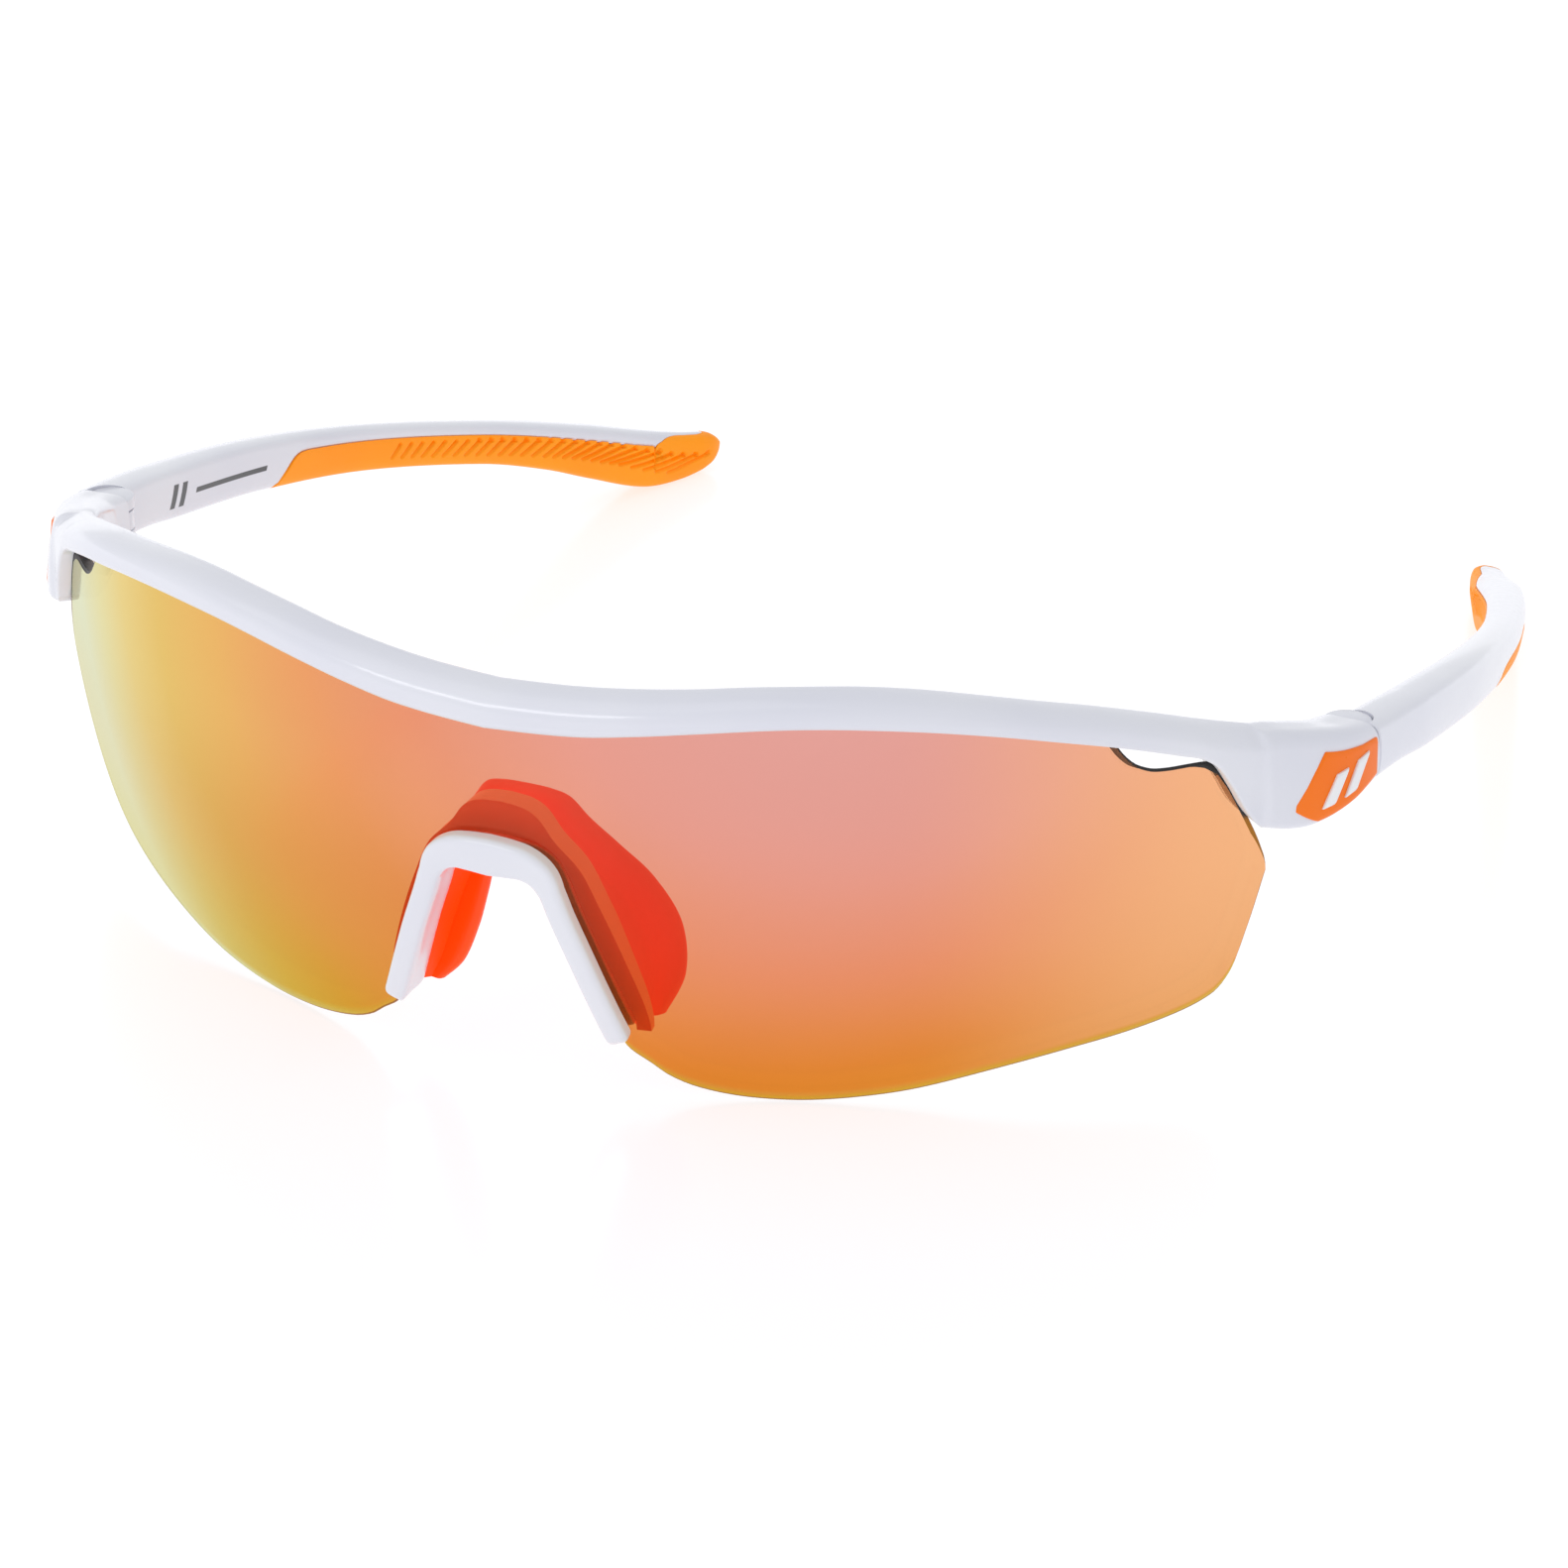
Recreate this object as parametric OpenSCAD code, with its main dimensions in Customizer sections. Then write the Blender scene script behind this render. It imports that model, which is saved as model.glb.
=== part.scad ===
// Wraparound sport sunglasses: brow frame, shield lens, nose parts and two folding arms.
// Millimetres. +X is the wearer's left, -Y is the front, +Z is up. Everything rests on z = 0.

/* [Lens] */
// Width of the shield lens, edge to edge
lens_w = 134; // [130:1:138]
// Thickness of the lens
lens_t = 2; // [1.6:0.1:2.2]
// How far the lens sits up in the groove of the brow
lens_grip = 1; // [0.6:0.1:1.2]

/* [Frame] */
// Depth of the brow bar in front of the lens
brow_front = 1.5; // [1.2:0.1:2]
// Depth of the brow bar behind the front of the lens
brow_back = 3.2; // [2.9:0.1:4]
// Clearance between the lens and the parts that hold it
seat_gap = 0.04; // [0.02:0.01:0.1]

/* [Arms] */
// Distance from the hinge axis to the tip of an arm
arm_len = 110.2; // [100:1:116]
// Extra thickness added to the arm section
arm_extra = 0.3; // [0:0.1:1]
// Length of the soft grip, measured back from the tip
grip_len = 71; // [60:1:76]

/* [Hinge] */
// Distance of each hinge axis from the middle of the front
hinge_x = 70; // [69:0.5:71]
// Radius of the frame ears
ear_r = 2.5; // [2.2:0.1:2.6]
// Radius of the hinge screw shank
pin_r = 0.8; // [0.6:0.05:0.9]
// Radial clearance between the screw and the arm tongue
pin_gap = 0.05; // [0.02:0.01:0.1]
// Gap between an ear and the tongue
layer_gap = 0.1; // [0.05:0.01:0.2]

/* [Badge] */
// Height of the inlay above the side of the end block
badge_t = 0.25; // [0.2:0.05:0.6]
// Height of the raised mark above the inlay
mark_t = 0.35; // [0.2:0.05:0.6]

/* [Hidden] */

white = [0.93, 0.94, 0.95];
orange = [0.98, 0.47, 0.05];
steel = [0.6, 0.6, 0.62];
tint = [0.93, 0.55, 0.35, 0.8];

k = lens_w / 134;
wrap_ref = 60 * k;
seam_y = 50.4;
hinge_y = 51.6;
tip_y = hinge_y + arm_len;
front_y = -0.564;
tip_round = 0.561;
mid_y = (front_y + tip_y - tip_round) / 2;

// ---- small helpers ----
function unit(v) = v / norm(v);
function cr(a, b, c, d, t) =
    0.5 * (2 * b + (c - a) * t + (2 * a - 5 * b + 4 * c - d) * t * t + (3 * b - a - 3 * c + d) * t * t * t);
// smooth curve through a list of points, t from 0 to len - 1
function curve(p, t) =
    let (n = len(p) - 1, i = min(floor(t), n - 1))
    cr(p[max(i - 1, 0)], p[i], p[i + 1], p[min(i + 2, n)], t - i);
// smooth height at x from a table of [x, value]
function smooth(tab, x, i = 0) =
    i >= len(tab) - 2 || x < tab[i + 1].x
        ? let (n = len(tab) - 1, a = tab[max(i - 1, 0)], b = tab[i], c = tab[i + 1], d = tab[min(i + 2, n)],
               w = c.x - b.x, t = (x - b.x) / w,
               mb = i == 0 ? (c[1] - b[1]) : (c[1] - a[1]) / (c.x - a.x) * w,
               mc = i >= n - 1 ? (c[1] - b[1]) : (d[1] - b[1]) / (d.x - b.x) * w)
          (2 * t * t * t - 3 * t * t + 1) * b[1] + (t * t * t - 2 * t * t + t) * mb
          + (3 * t * t - 2 * t * t * t) * c[1] + (t * t * t - t * t) * mc
        : smooth(tab, x, i + 1);

// solid skin through a list of equal rings, capped at both ends
module loft(rings) {
    n = len(rings[0]);
    m = len(rings);
    sides = [for (j = [0:m - 2]) for (i = [0:n - 1])
        let (a = j * n + i, b = j * n + (i + 1) % n, c = a + n, d = b + n)
        each [[a, b, d], [a, d, c]]];
    start = [[for (i = [n - 1:-1:0]) i]];
    finish = [[for (i = [0:n - 1]) (m - 1) * n + i]];
    polyhedron(points = [for (r = rings) each r], faces = concat(start, sides, finish), convexity = 8);
}

module flip(side) {
    if (side < 0) mirror([1, 0, 0]) children();
    else children();
}

// ---- lens surface ----
function lens_y(x, z) =
    let (q = pow(x / wrap_ref, 2), h = (z - 20) / 20)
    18.87 * q + 13.31 * q * q - 3.22 * q * q * q - 2.4 * h + 3.34 * h * h - 1.64 * q * h
    + 1.8 * (1 - h * h) * pow(max(0, 1 - q), 2);
function lens_n(x, z) =
    let (e = 0.01)
    unit([(lens_y(x - e, z) - lens_y(x + e, z)) / (2 * e), 1, (lens_y(x, z - e) - lens_y(x, z + e)) / (2 * e)]);
// point at depth d behind the front face of the lens
function at(x, z, d) = [x, lens_y(x, z) - mid_y, z] + d * lens_n(x, z);

// height of the lower edge of the brow, then of the inner edge of the end block
brow_low = [
    [0, 39.6], [9.6, 40.2], [15.5, 41], [21, 41.8], [27, 42.5], [32, 42.75], [37, 42.6], [42, 42.1],
    [47, 41.2], [51.6, 40], [56, 38.6], [60, 36.9], [62.8, 35.2], [64.3, 32], [65.4, 28.8], [66.2, 27.3]
];
// height of the top of the brow
brow_top = [
    [0, 43.65], [8, 44.05], [14, 44.55], [20, 45.15], [25.4, 45.75], [31, 46.05], [36, 46.05], [41, 45.55],
    [46, 44.55], [51, 43.25], [55, 42.05], [59.5, 40.3], [63.6, 38.4], [66.2, 37.2]
];
function low_z(x) = smooth(brow_low, abs(x) / k);
function top_z(x) = smooth(brow_top, abs(x) / k);

// ---- brow bar with a groove for the lens, section as [depth, rise] ----
function brow_ring(x) =
    let (b = low_z(x), h = top_z(x) - b, f = -brow_front, r = brow_back, g = seat_gap,
         lip = lens_grip + 0.2, s = min(h, 4.2) / 4.2)
    [for (p = [
        [f + 0.25, 0], [f + 0.02, 0.3], [f, 1.2 * s], [f + 0.2, h - 1.9 * s], [f + 0.8, h - s],
        [f + 1.9, h - 0.35 * s], [f + 3, h - 0.05 * s], [r - 0.9, h], [r - 0.2, h - 0.5 * s], [r, h - 1.4 * s],
        [r, 0.4], [r - 0.25, 0], [lens_t + g, 0], [lens_t + g, lip], [-g, lip], [-g, 0]
    ]) at(x, b + p[1], p[0])];

// radius of the edges of the end block
side_round = 1.1;

// ---- end block: [outer x, outer y, inner x, inner y, low z, high z] ----
block = [
    [67.35, 34.3, 63.5, 37.3, 27.25, 37.1], [68.9, 37.1, 64.6, 39.9, 26.3, 36.5],
    [70.4, 39.9, 65.5, 42.3, 25.7, 35.7], [72, 43.1, 66.2, 44.6, 25.8, 34.9],
    [73.2, 46.5, 66.8, 47, 26.4, 34.1], [73.9, 50.4, 67.2, 50.4, 27.1, 33.3]
];
// the side of the block swells outward towards its lower edge
swell = [[0, 0.15], [1, 0.7], [2, 0.6], [3, 0.3], [5, 0]];
function block_ring(t) =
    let (s = curve(block, t), o = [s[0] * k, s[1] - mid_y], i = [s[2] * k, s[3] - mid_y],
         lo = s[4], hi = s[5], w = norm(o - i), u = (o - i) / w, b = lookup(t, swell), c = side_round, groove = 0.3)
    [for (p = [
        [w - c + b, lo], [w - 0.3 * c + b, lo + 0.35 * c], [w + b, lo + c], [w, hi - 1.7 * c],
        [w - 0.45 * c, hi - 0.6 * c], [w - 1.2 * c, hi - 0.1 * c], [w * 0.5, hi], [c, hi], [0.3 * c, hi - 0.3 * c],
        [0, hi - c], [0, lo + c], [0.3 * c, lo + 0.3 * c], [w * 0.35, lo], [w * 0.35, lo + groove],
        [w * 0.46, lo + groove], [w * 0.46, lo]
    ]) let (q = i + p[0] * u) [q.x, q.y, p[1]]];

// ---- hinge layers ----
ear_lo = 27.45;
ear_hi = 32.6;
head_r = 1.45;
head_h = 0.7;
tongue_lo = 29;
tongue_hi = 31.1;
slot_h = tongue_hi - tongue_lo + 2 * layer_gap;
module at_hinge(side, z) {
    translate([side * hinge_x * k, hinge_y - mid_y, z]) children();
}

module ear(side, lo, hi) {
    at_hinge(side, lo) cylinder(r = ear_r, h = hi - lo, $fn = 48);
    at_hinge(side, lo) translate([-ear_r, -2.2, 0]) cube([2 * ear_r, 2.2, hi - lo]);
}

module front_frame() {
    half = concat([for (i = [1:29]) i * 2], [59.4, 60.6, 61.6, 62.4, 63, 63.6, 64.2, 64.8, 65.4, 65.9, 66.2]);
    xs = concat([for (i = [len(half) - 1:-1:0]) -half[i] * k], [0], half * k);
    ends = [for (j = [2:24]) block_ring(j * 5 / 24)];
    mirrored = [for (j = [len(ends) - 1:-1:0]) [for (p = ends[j]) [-p.x, p.y, p.z]]];
    color(white) difference() {
        union() {
            loft(concat(mirrored, [for (x = xs) brow_ring(x)], ends));
            for (side = [-1, 1]) {
                ear(side, ear_lo, tongue_lo - layer_gap);
                ear(side, tongue_hi + layer_gap, ear_hi);
            }
        }
        for (side = [-1, 1]) {
            at_hinge(side, tongue_lo - layer_gap) cylinder(r = ear_r + 0.2, h = slot_h, $fn = 48);
            at_hinge(side, ear_lo - 1) cylinder(r = pin_r + 0.01, h = ear_hi - ear_lo + 0.3, $fn = 32);
            at_hinge(side, ear_lo - 1) cylinder(r = head_r + 0.05, h = 1.1 + head_h, $fn = 32);
        }
    }
}

// ---- lens outline: [x, z], from the nose cut to the outer end ----
lens_low = [
    [0, 25.4], [2.2, 25.4], [3.8, 25.2], [5.2, 24.4], [6.1, 22.9], [7.1, 20], [8.6, 16], [10, 12],
    [11.4, 8], [12.2, 5.9], [12.9, 4.9], [13.8, 4.2], [14.8, 3.5], [16.4, 2.2], [18.8, 1.1], [22.5, 0.3], [26.2, 0],
    [29.8, 0], [34.3, 0.4], [38.8, 1.1], [45.6, 2.8], [51.4, 4.1], [56.4, 5.1], [60.3, 6.3], [62.4, 7.5],
    [63.3, 8.6], [64, 10], [65.2, 14], [66.1, 17.4], [66.7, 20]
];
// change of the upper edge where the lens leaves the brow groove
notch = [
    [54.9, 0], [55.6, -0.95], [56.4, -1.84], [57, -2.37], [57.8, -2.9], [59.05, -3.04], [60.5, -2.54], [61.9, -1.98],
    [63, -1.1], [63.4, -0.7]
];
// upper and lower edges of the lens outside the notch
lens_end = [
    [63.6, 34.6], [64.3, 33], [64.9, 31.2], [65.5, 29.2], [66, 27.4], [66.5, 25.4], [66.9, 23.3]
];
lens_side = [[63.3, 8.6], [64, 10], [64.7, 12.2], [65.3, 14.4], [65.8, 16.3], [66.3, 18.4], [66.8, 20.6]];
function lens_high(x) = low_z(x) + lens_grip + lookup(x / k, notch);
function col(x, lo, hi, d, rows) =
    [for (j = [0:rows]) at(x[0] + (x[1] - x[0]) * j / rows, lo + (hi - lo) * j / rows, d)];

module shield_lens() {
    rows = 9;
    nose = [0, 1.7, 3, 3.8, 4.5, 5.2, 6.1, 7.1, 8.6, 10, 11.4, 12.2, 12.9, 13.8, 14.8];
    cheek = [for (i = [8:26]) i * 2];
    temple = [54.9, 55.6, 56.4, 57.2, 58.2, 59.05, 60.5, 61.9, 63];
    straight = [for (v = concat(nose, cheek, temple)) [[v * k, v * k], lookup(v, lens_low), lens_high(v * k)]];
    outer = [for (i = [0:6]) [[lens_side[i].x * k, lens_end[i].x * k], lens_side[i][1], lens_end[i][1]]];
    half = concat(straight, outer);
    mirrored = [for (i = [len(half) - 1:-1:1]) let (c = half[i]) [[-c[0][0], -c[0][1]], c[1], c[2]]];
    cols = concat(mirrored, half);
    rings = [for (c = cols)
        let (f = col(c[0], c[1], c[2], 0, rows), b = col(c[0], c[1], c[2], lens_t, rows))
        concat(f, [for (j = [rows:-1:0]) b[j]])];
    color(tint) loft(rings);
}

// ---- nose bridge: a clip with a groove over the lens edge ----
arch = [
    [0, 25.4], [2.2, 25.4], [3.8, 25.2], [5.2, 24.4], [6.1, 22.9], [7.1, 20], [8.6, 16], [10, 12], [11.4, 8], [12.2, 5.9]
];
arch_n = len(arch) - 1;
full_arch = concat([for (i = [arch_n:-1:1]) [-arch[i].x, arch[i].y]], arch);
function arch_pt(t) = curve(full_arch, t + arch_n);
function arch_out(t) = let (a = arch_pt(t - 0.05), b = arch_pt(t + 0.05), d = unit(b - a)) [-d.y, d.x];
function on_arch(t, w, d) = let (p = arch_pt(t) + w * arch_out(t)) at(p.x, p.y, d);

function bridge_ring(t) =
    let (e = abs(t) / arch_n, m = pow(max(0, 1 - e * 2.2), 0.7), a = -0.85 - 0.85 * m, b = 1.5 + 0.85 * m,
         g = seat_gap + 0.05, c = seat_gap + 0.14, tip = max(0, e - 0.93) * 6)
    [for (p = [
        [a, -1.1], [a + 0.35, -1.7], [b - 0.5, -1.7 + tip], [b - 0.1, -1.35 + tip], [b, -g], [-c, -g],
        [-c, lens_t + g], [0.8, lens_t + g], [0.8, lens_t + 0.85], [a, lens_t + 0.85]
    ]) on_arch(t, p[0], p[1])];

module nose_bridge() {
    n = 24;
    span = arch_n - 0.25;
    color(white) loft([for (j = [-n:n]) bridge_ring(j * span / n)]);
}

// ---- nose pad: flange behind the lens and a rear saddle with two wings ----
flange_out = [
    [0, 30.3], [2.5, 30], [4.2, 29], [5.8, 26.8], [8.4, 24], [10.2, 20.2], [12.2, 15.1], [14, 9.6], [14.6, 6.4]
];
flange_in = [
    [0, 26.7], [2.2, 26.6], [4.3, 26.15], [6.1, 25], [7.3, 22.9], [8.3, 20], [9.9, 15.6], [11.9, 10.3], [13.2, 6.7]
];
// rear saddle, outer and inner edges as [x, y, z]
saddle_out = [
    [0, 7.9, 30.3], [2.6, 7.9, 30.2], [4.8, 8, 29.6], [7.2, 8.6, 27.2], [10.3, 9.8, 24.2], [13.4, 11, 20.8],
    [16, 11.6, 16], [16.3, 11.2, 10.6], [14.4, 10, 6.4]
];
saddle_in = [
    [0, 6.6, 25.6], [1.2, 6.6, 25.2], [2.2, 6.7, 24.1], [3, 7, 22], [3.6, 7.6, 19.6], [4.5, 8.1, 16.5],
    [5.7, 8.6, 12.8], [7.5, 9, 8.7], [9.8, 9.1, 6.2]
];
function sgn_curve(p, t) =
    let (v = curve(p, min(abs(t), len(p) - 1)), s = t < 0 ? -1 : 1) len(v) == 2 ? [s * v.x, v.y] : [s * v.x, v.y, v.z];
function pad_ring(t) =
    let (fo = sgn_curve(flange_out, t), fi = sgn_curve(flange_in, t), so = sgn_curve(saddle_out, t) - [0, mid_y, 0],
         si = sgn_curve(saddle_in, t) - [0, mid_y, 0], f0 = lens_t + 0.2,
         f1 = lens_t + lookup(abs(t), [[5.5, 2.6], [8, 1.3]]), f2 = lens_t + 0.7,
         mf = 0.35 * fo + 0.65 * fi, u = unit(so - si), back = [0, 1.7, 0])
    [at(fi.x, fi.y, f0), at(fo.x, fo.y, f0), at(fo.x, fo.y, f1), at(mf.x, mf.y, f1 + 0.2),
     0.62 * so + 0.38 * si - [0, 0.3, 0], so - 0.5 * u, so + 0.5 * back, so - 0.9 * u + back, si + 0.9 * u + back,
     si + 0.5 * back, si + 0.4 * u, 0.3 * so + 0.7 * si - [0, 0.4, 0], at(fi.x, fi.y, f2)];

pad_end = 6.4;
module nose_pad() {
    n = 24;
    span = 8;
    // both end rings are level, so that the end faces are flat
    color(orange) loft([for (j = [-n:n])
        [for (p = pad_ring(j * span / n)) [p.x, p.y, abs(j) == n ? pad_end : p.z]]]);
}

// ---- badge inlay on the side of the end block ----
// its lower and upper edges, as height above the low edge of the block at each block station
badge_lo = [[1.3, 2.1], [2.2, 1.15], [3.8, 1.15], [4.75, 1.3]];
badge_hi = [[1.3, 2.6], [2.5, 7.6], [4.75, 4.9]];
// point on the side of the block at station t, height h and distance d outside it
function side_pt(t, h, d) =
    let (s = curve(block, t), e = curve(block, min(t + 0.02, 5)), f = curve(block, t - 0.02),
         dir = unit([e[0] - f[0], e[1] - f[1]]), out = unit([s[0] - s[2], s[1] - s[3]]),
         bulge = lookup(t, swell) * (1 - (h - side_round) / (s[5] - s[4] - 2.7 * side_round)),
         q = [s[0] * k, s[1] - mid_y] + bulge * out)
    [q.x + d * dir.y, q.y - d * dir.x, s[4] + h];

module badge_plate(side) {
    rings = [for (i = [0:16])
        let (t = 1.3 + i * 3.4 / 16, lo = lookup(t, badge_lo), hi = lookup(t, badge_hi))
        [side_pt(t, lo, 0.05), side_pt(t, lo, badge_t), side_pt(t, hi, badge_t), side_pt(t, hi, 0.05)]];
    color(orange) flip(side) loft(rings);
}

// raised mark: two parallel leaning bars
module bar(t0, t1, w, z0, z1) {
    rings = [for (i = [0:4])
        let (f = i / 4, t = t0 + (t1 - t0) * f, h = z0 + (z1 - z0) * f)
        [side_pt(t - w, h, badge_t + 0.07), side_pt(t + w, h, badge_t + 0.07),
         side_pt(t + w, h, badge_t + mark_t), side_pt(t - w, h, badge_t + mark_t)]];
    loft(rings);
}

module badge_mark(side) {
    color(white) flip(side) union() {
        bar(2.55, 3.15, 0.24, 2, 4.9);
        bar(3.45, 4.05, 0.24, 2, 4.9);
    }
}

// ---- arms: outer x, top, bottom and thickness against distance behind the lens ----
arm_x = [
    [50, 73.9], [57, 74.3], [65, 74.4], [85, 73.3], [105, 70.1], [125, 64.8], [142, 59.4], [154, 54.6], [162, 50.6]
];
arm_top = [
    [50, 33.2], [57, 32.1], [65, 30.7], [85, 26.7], [105, 21.8], [125, 16.1], [142, 10.6], [154, 6.4], [162, 4.8]
];
arm_low = [
    [50, 27.1], [57, 26.4], [65, 24.8], [85, 20.9], [105, 16.5], [125, 11], [135, 7.1], [142, 3.5], [150, 0], [156, 0],
    [162, 1]
];
arm_w = [[50, 4.8], [57, 4.9], [65, 4.8], [85, 4.1], [105, 3.6], [125, 3.8], [142, 4.6], [154, 4.4], [162, 3.8]];
function arm_sec(y) =
    let (dx = smooth(arm_x, y + 0.5) - smooth(arm_x, y - 0.5), n = unit([1, -dx]),
         o = [smooth(arm_x, y) - 73.9 + 73.9 * k, y - mid_y])
    [o, -n, smooth(arm_w, y) + arm_extra, max(0, smooth(arm_low, y)), smooth(arm_top, y)];
function arm_ring(y, shrink = 0) =
    let (s = arm_sec(y), w = s[2], lo = s[3] + shrink, hi = s[4] - shrink, h = hi - lo,
         c = min(1.2, h * 0.28, w * 0.32), e = shrink,
         pt = function (d, z) [s[0].x + s[1].x * d, s[0].y + s[1].y * d, z])
    [pt(e, lo + c), pt(e, hi - 1.3 * c), pt(e + 0.35 * c, hi - 0.35 * c), pt(e + 1.3 * c, hi), pt(w - e - c, hi),
     pt(w - e - 0.3 * c, hi - 0.3 * c), pt(w - e, hi - c), pt(w - e, lo + c), pt(w - e - 0.3 * c, lo + 0.3 * c),
     pt(w - e - c, lo), pt(e + c, lo), pt(e + 0.3 * c, lo + 0.3 * c)];
tip_steps = [[3, 0], [2, 0.12], [1.2, 0.35], [0.5, 0.75], [0, 1.25]];

module arm_body() {
    y0 = seam_y + 0.15;
    run = tip_y - 3 - y0;
    body = [for (i = [0:37]) arm_ring(y0 + i * run / 38)];
    tip = [for (s = tip_steps) arm_ring(tip_y - s[0], s[1])];
    loft(concat(body, tip));
}

// region taken by the soft grip: inner and outer boundary heights as parts of the section
grip_in = [[0, -0.3], [2, -0.1], [10, 0.62], [40, 0.64], [60, 0.66], [61.5, 0.8], [63, 1.3], [72, 1.4]];
grip_out = [[0, -0.3], [2, -0.1], [9, 0.34], [30, 0.38], [60, 0.4], [66, 0.5], [68.5, 1.4], [72, 1.4]];
module grip_region(gap) {
    s0 = tip_y - grip_len - 1;
    ys = [for (i = [0:36]) s0 + i * (grip_len + 3) / 36];
    rings = [for (y = ys)
        let (s = arm_sec(min(y, tip_y)), h = s[4] - s[3], q = (y - s0) * 72 / (grip_len + 3),
             zi = s[3] + h * smooth(grip_in, q) - gap, zo = s[3] + h * smooth(grip_out, q) - gap,
             pt = function (d, z) [s[0].x + s[1].x * d, y - mid_y + s[1].y * d, z])
        [pt(-1.5, -3), pt(-1.5, max(-2, zo - 0.1 * h)), pt(s[2] + 1.5, max(-2, zi + 0.1 * h)), pt(s[2] + 1.5, -3)]];
    loft(rings);
}

module arm(side) {
    color(white) flip(side) difference() {
        union() {
            difference() {
                arm_body();
                for (z = [[20, tongue_lo - layer_gap], [tongue_hi + layer_gap, 40]])
                    at_hinge(1, z[0]) cylinder(r = ear_r + 0.2, h = z[1] - z[0], $fn = 48);
            }
            at_hinge(1, tongue_lo) cylinder(r = ear_r - 0.1, h = tongue_hi - tongue_lo, $fn = 48);
        }
        at_hinge(1, 20) cylinder(r = pin_r + pin_gap, h = 20, $fn = 32);
        grip_region(0.004);
    }
}

module grip(side) {
    color(orange) flip(side) intersection() {
        arm_body();
        grip_region(0.03);
    }
}

// ---- hinge screw, put in from below, with a slotted head ----
module hinge_screw(side) {
    color(steel) difference() {
        union() {
            at_hinge(side, ear_lo + 0.09) cylinder(r = pin_r, h = ear_hi - ear_lo - 0.9, $fn = 32);
            at_hinge(side, ear_lo + 0.09) cylinder(r = head_r, h = head_h, $fn = 32);
        }
        at_hinge(side, ear_lo - 0.5) translate([-2, -0.2, 0]) cube([4, 0.4, 0.9]);
    }
}

front_frame();
shield_lens();
nose_bridge();
nose_pad();
badge_plate(1);  // badge_plate_left
badge_plate(-1);  // badge_plate_right
badge_mark(1);  // badge_mark_left
badge_mark(-1);  // badge_mark_right
arm(1);  // arm_left
arm(-1);  // arm_right
grip(1);  // grip_left
grip(-1);  // grip_right
hinge_screw(1);  // hinge_screw_left
hinge_screw(-1);  // hinge_screw_right
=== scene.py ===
import math

import bmesh
import bpy
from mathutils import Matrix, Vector


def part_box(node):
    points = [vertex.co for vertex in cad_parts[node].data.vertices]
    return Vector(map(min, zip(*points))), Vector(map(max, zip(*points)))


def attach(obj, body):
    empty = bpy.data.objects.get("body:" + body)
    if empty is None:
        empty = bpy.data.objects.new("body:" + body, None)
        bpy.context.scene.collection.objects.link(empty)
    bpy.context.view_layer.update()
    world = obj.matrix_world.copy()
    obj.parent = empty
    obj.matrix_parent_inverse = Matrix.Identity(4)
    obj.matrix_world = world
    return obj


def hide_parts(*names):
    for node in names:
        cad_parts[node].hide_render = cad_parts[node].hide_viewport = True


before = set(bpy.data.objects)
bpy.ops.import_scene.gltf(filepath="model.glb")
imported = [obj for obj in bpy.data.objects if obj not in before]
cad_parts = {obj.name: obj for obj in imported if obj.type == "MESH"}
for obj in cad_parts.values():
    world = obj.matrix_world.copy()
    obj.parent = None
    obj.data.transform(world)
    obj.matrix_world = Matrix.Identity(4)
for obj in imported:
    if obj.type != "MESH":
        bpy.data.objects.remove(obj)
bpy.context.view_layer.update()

# ---------------------------------------------------------------- design frame
# Millimetres: x is the wearer's left, y runs back from the front of the lens, z is up from the floor.
MM = 0.001
LENS_T = 2.0
LENS_GRIP = 1.0
BROW_FRONT = 1.5
BROW_BACK = 3.2
SEAT_GAP = 0.04
SEAM_Y = 50.4
HINGE_X = 70.0
HINGE_Y = 51.6
TIP_Y = 161.8
EAR_R = 2.5
EAR_LOW, EAR_HIGH = 27.45, 32.6
TONGUE_LOW, TONGUE_HIGH = 29.0, 31.1
LAYER_GAP = 0.1
SCREW_SEAT_R = 1.5
SCREW_SEAT_DEPTH = 0.8
BORE_R = 0.87
# how far the root of an ear reaches towards the front, as a part of its radius
ROOT_REACH = 0.88
# heights well below and above the hinge, for tools that cut right through
TOOL_LOW, TOOL_HIGH = 20, 40

# the screws stand on the hinge axes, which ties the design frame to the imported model
screw_low, screw_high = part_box("hinge_screw_left")
MID_Y = HINGE_Y - (screw_low.y + screw_high.y) / 2 / MM


# ---------------------------------------------------------------- curves
def clamp(v, low=0.0, high=1.0):
    return max(low, min(high, v))


def smoothstep(a, b, v):
    t = clamp((v - a) / (b - a))
    return t * t * (3 - 2 * t)


def lookup(table, x):
    """Straight lines between the [x, value] pairs of a table."""
    if x <= table[0][0]:
        return table[0][1]
    for (x0, v0), (x1, v1) in zip(table, table[1:]):
        if x < x1:
            return v0 + (v1 - v0) * (x - x0) / (x1 - x0)
    return table[-1][1]


def smooth(table, x):
    """Smooth curve through the [x, value] pairs of a table."""
    n = len(table) - 1
    i = 0
    while i < n - 1 and x >= table[i + 1][0]:
        i += 1
    b, c = table[i], table[i + 1]
    w = c[0] - b[0]
    t = (x - b[0]) / w
    slope = (c[1] - b[1]) / w
    mb = slope if i == 0 else (c[1] - table[i - 1][1]) / (c[0] - table[i - 1][0])
    mc = slope if i == n - 1 else (table[i + 2][1] - b[1]) / (table[i + 2][0] - b[0])
    return (
        (2 * t**3 - 3 * t**2 + 1) * b[1]
        + (t**3 - 2 * t**2 + t) * mb * w
        + (3 * t**2 - 2 * t**3) * c[1]
        + (t**3 - t**2) * mc * w
    )


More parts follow.
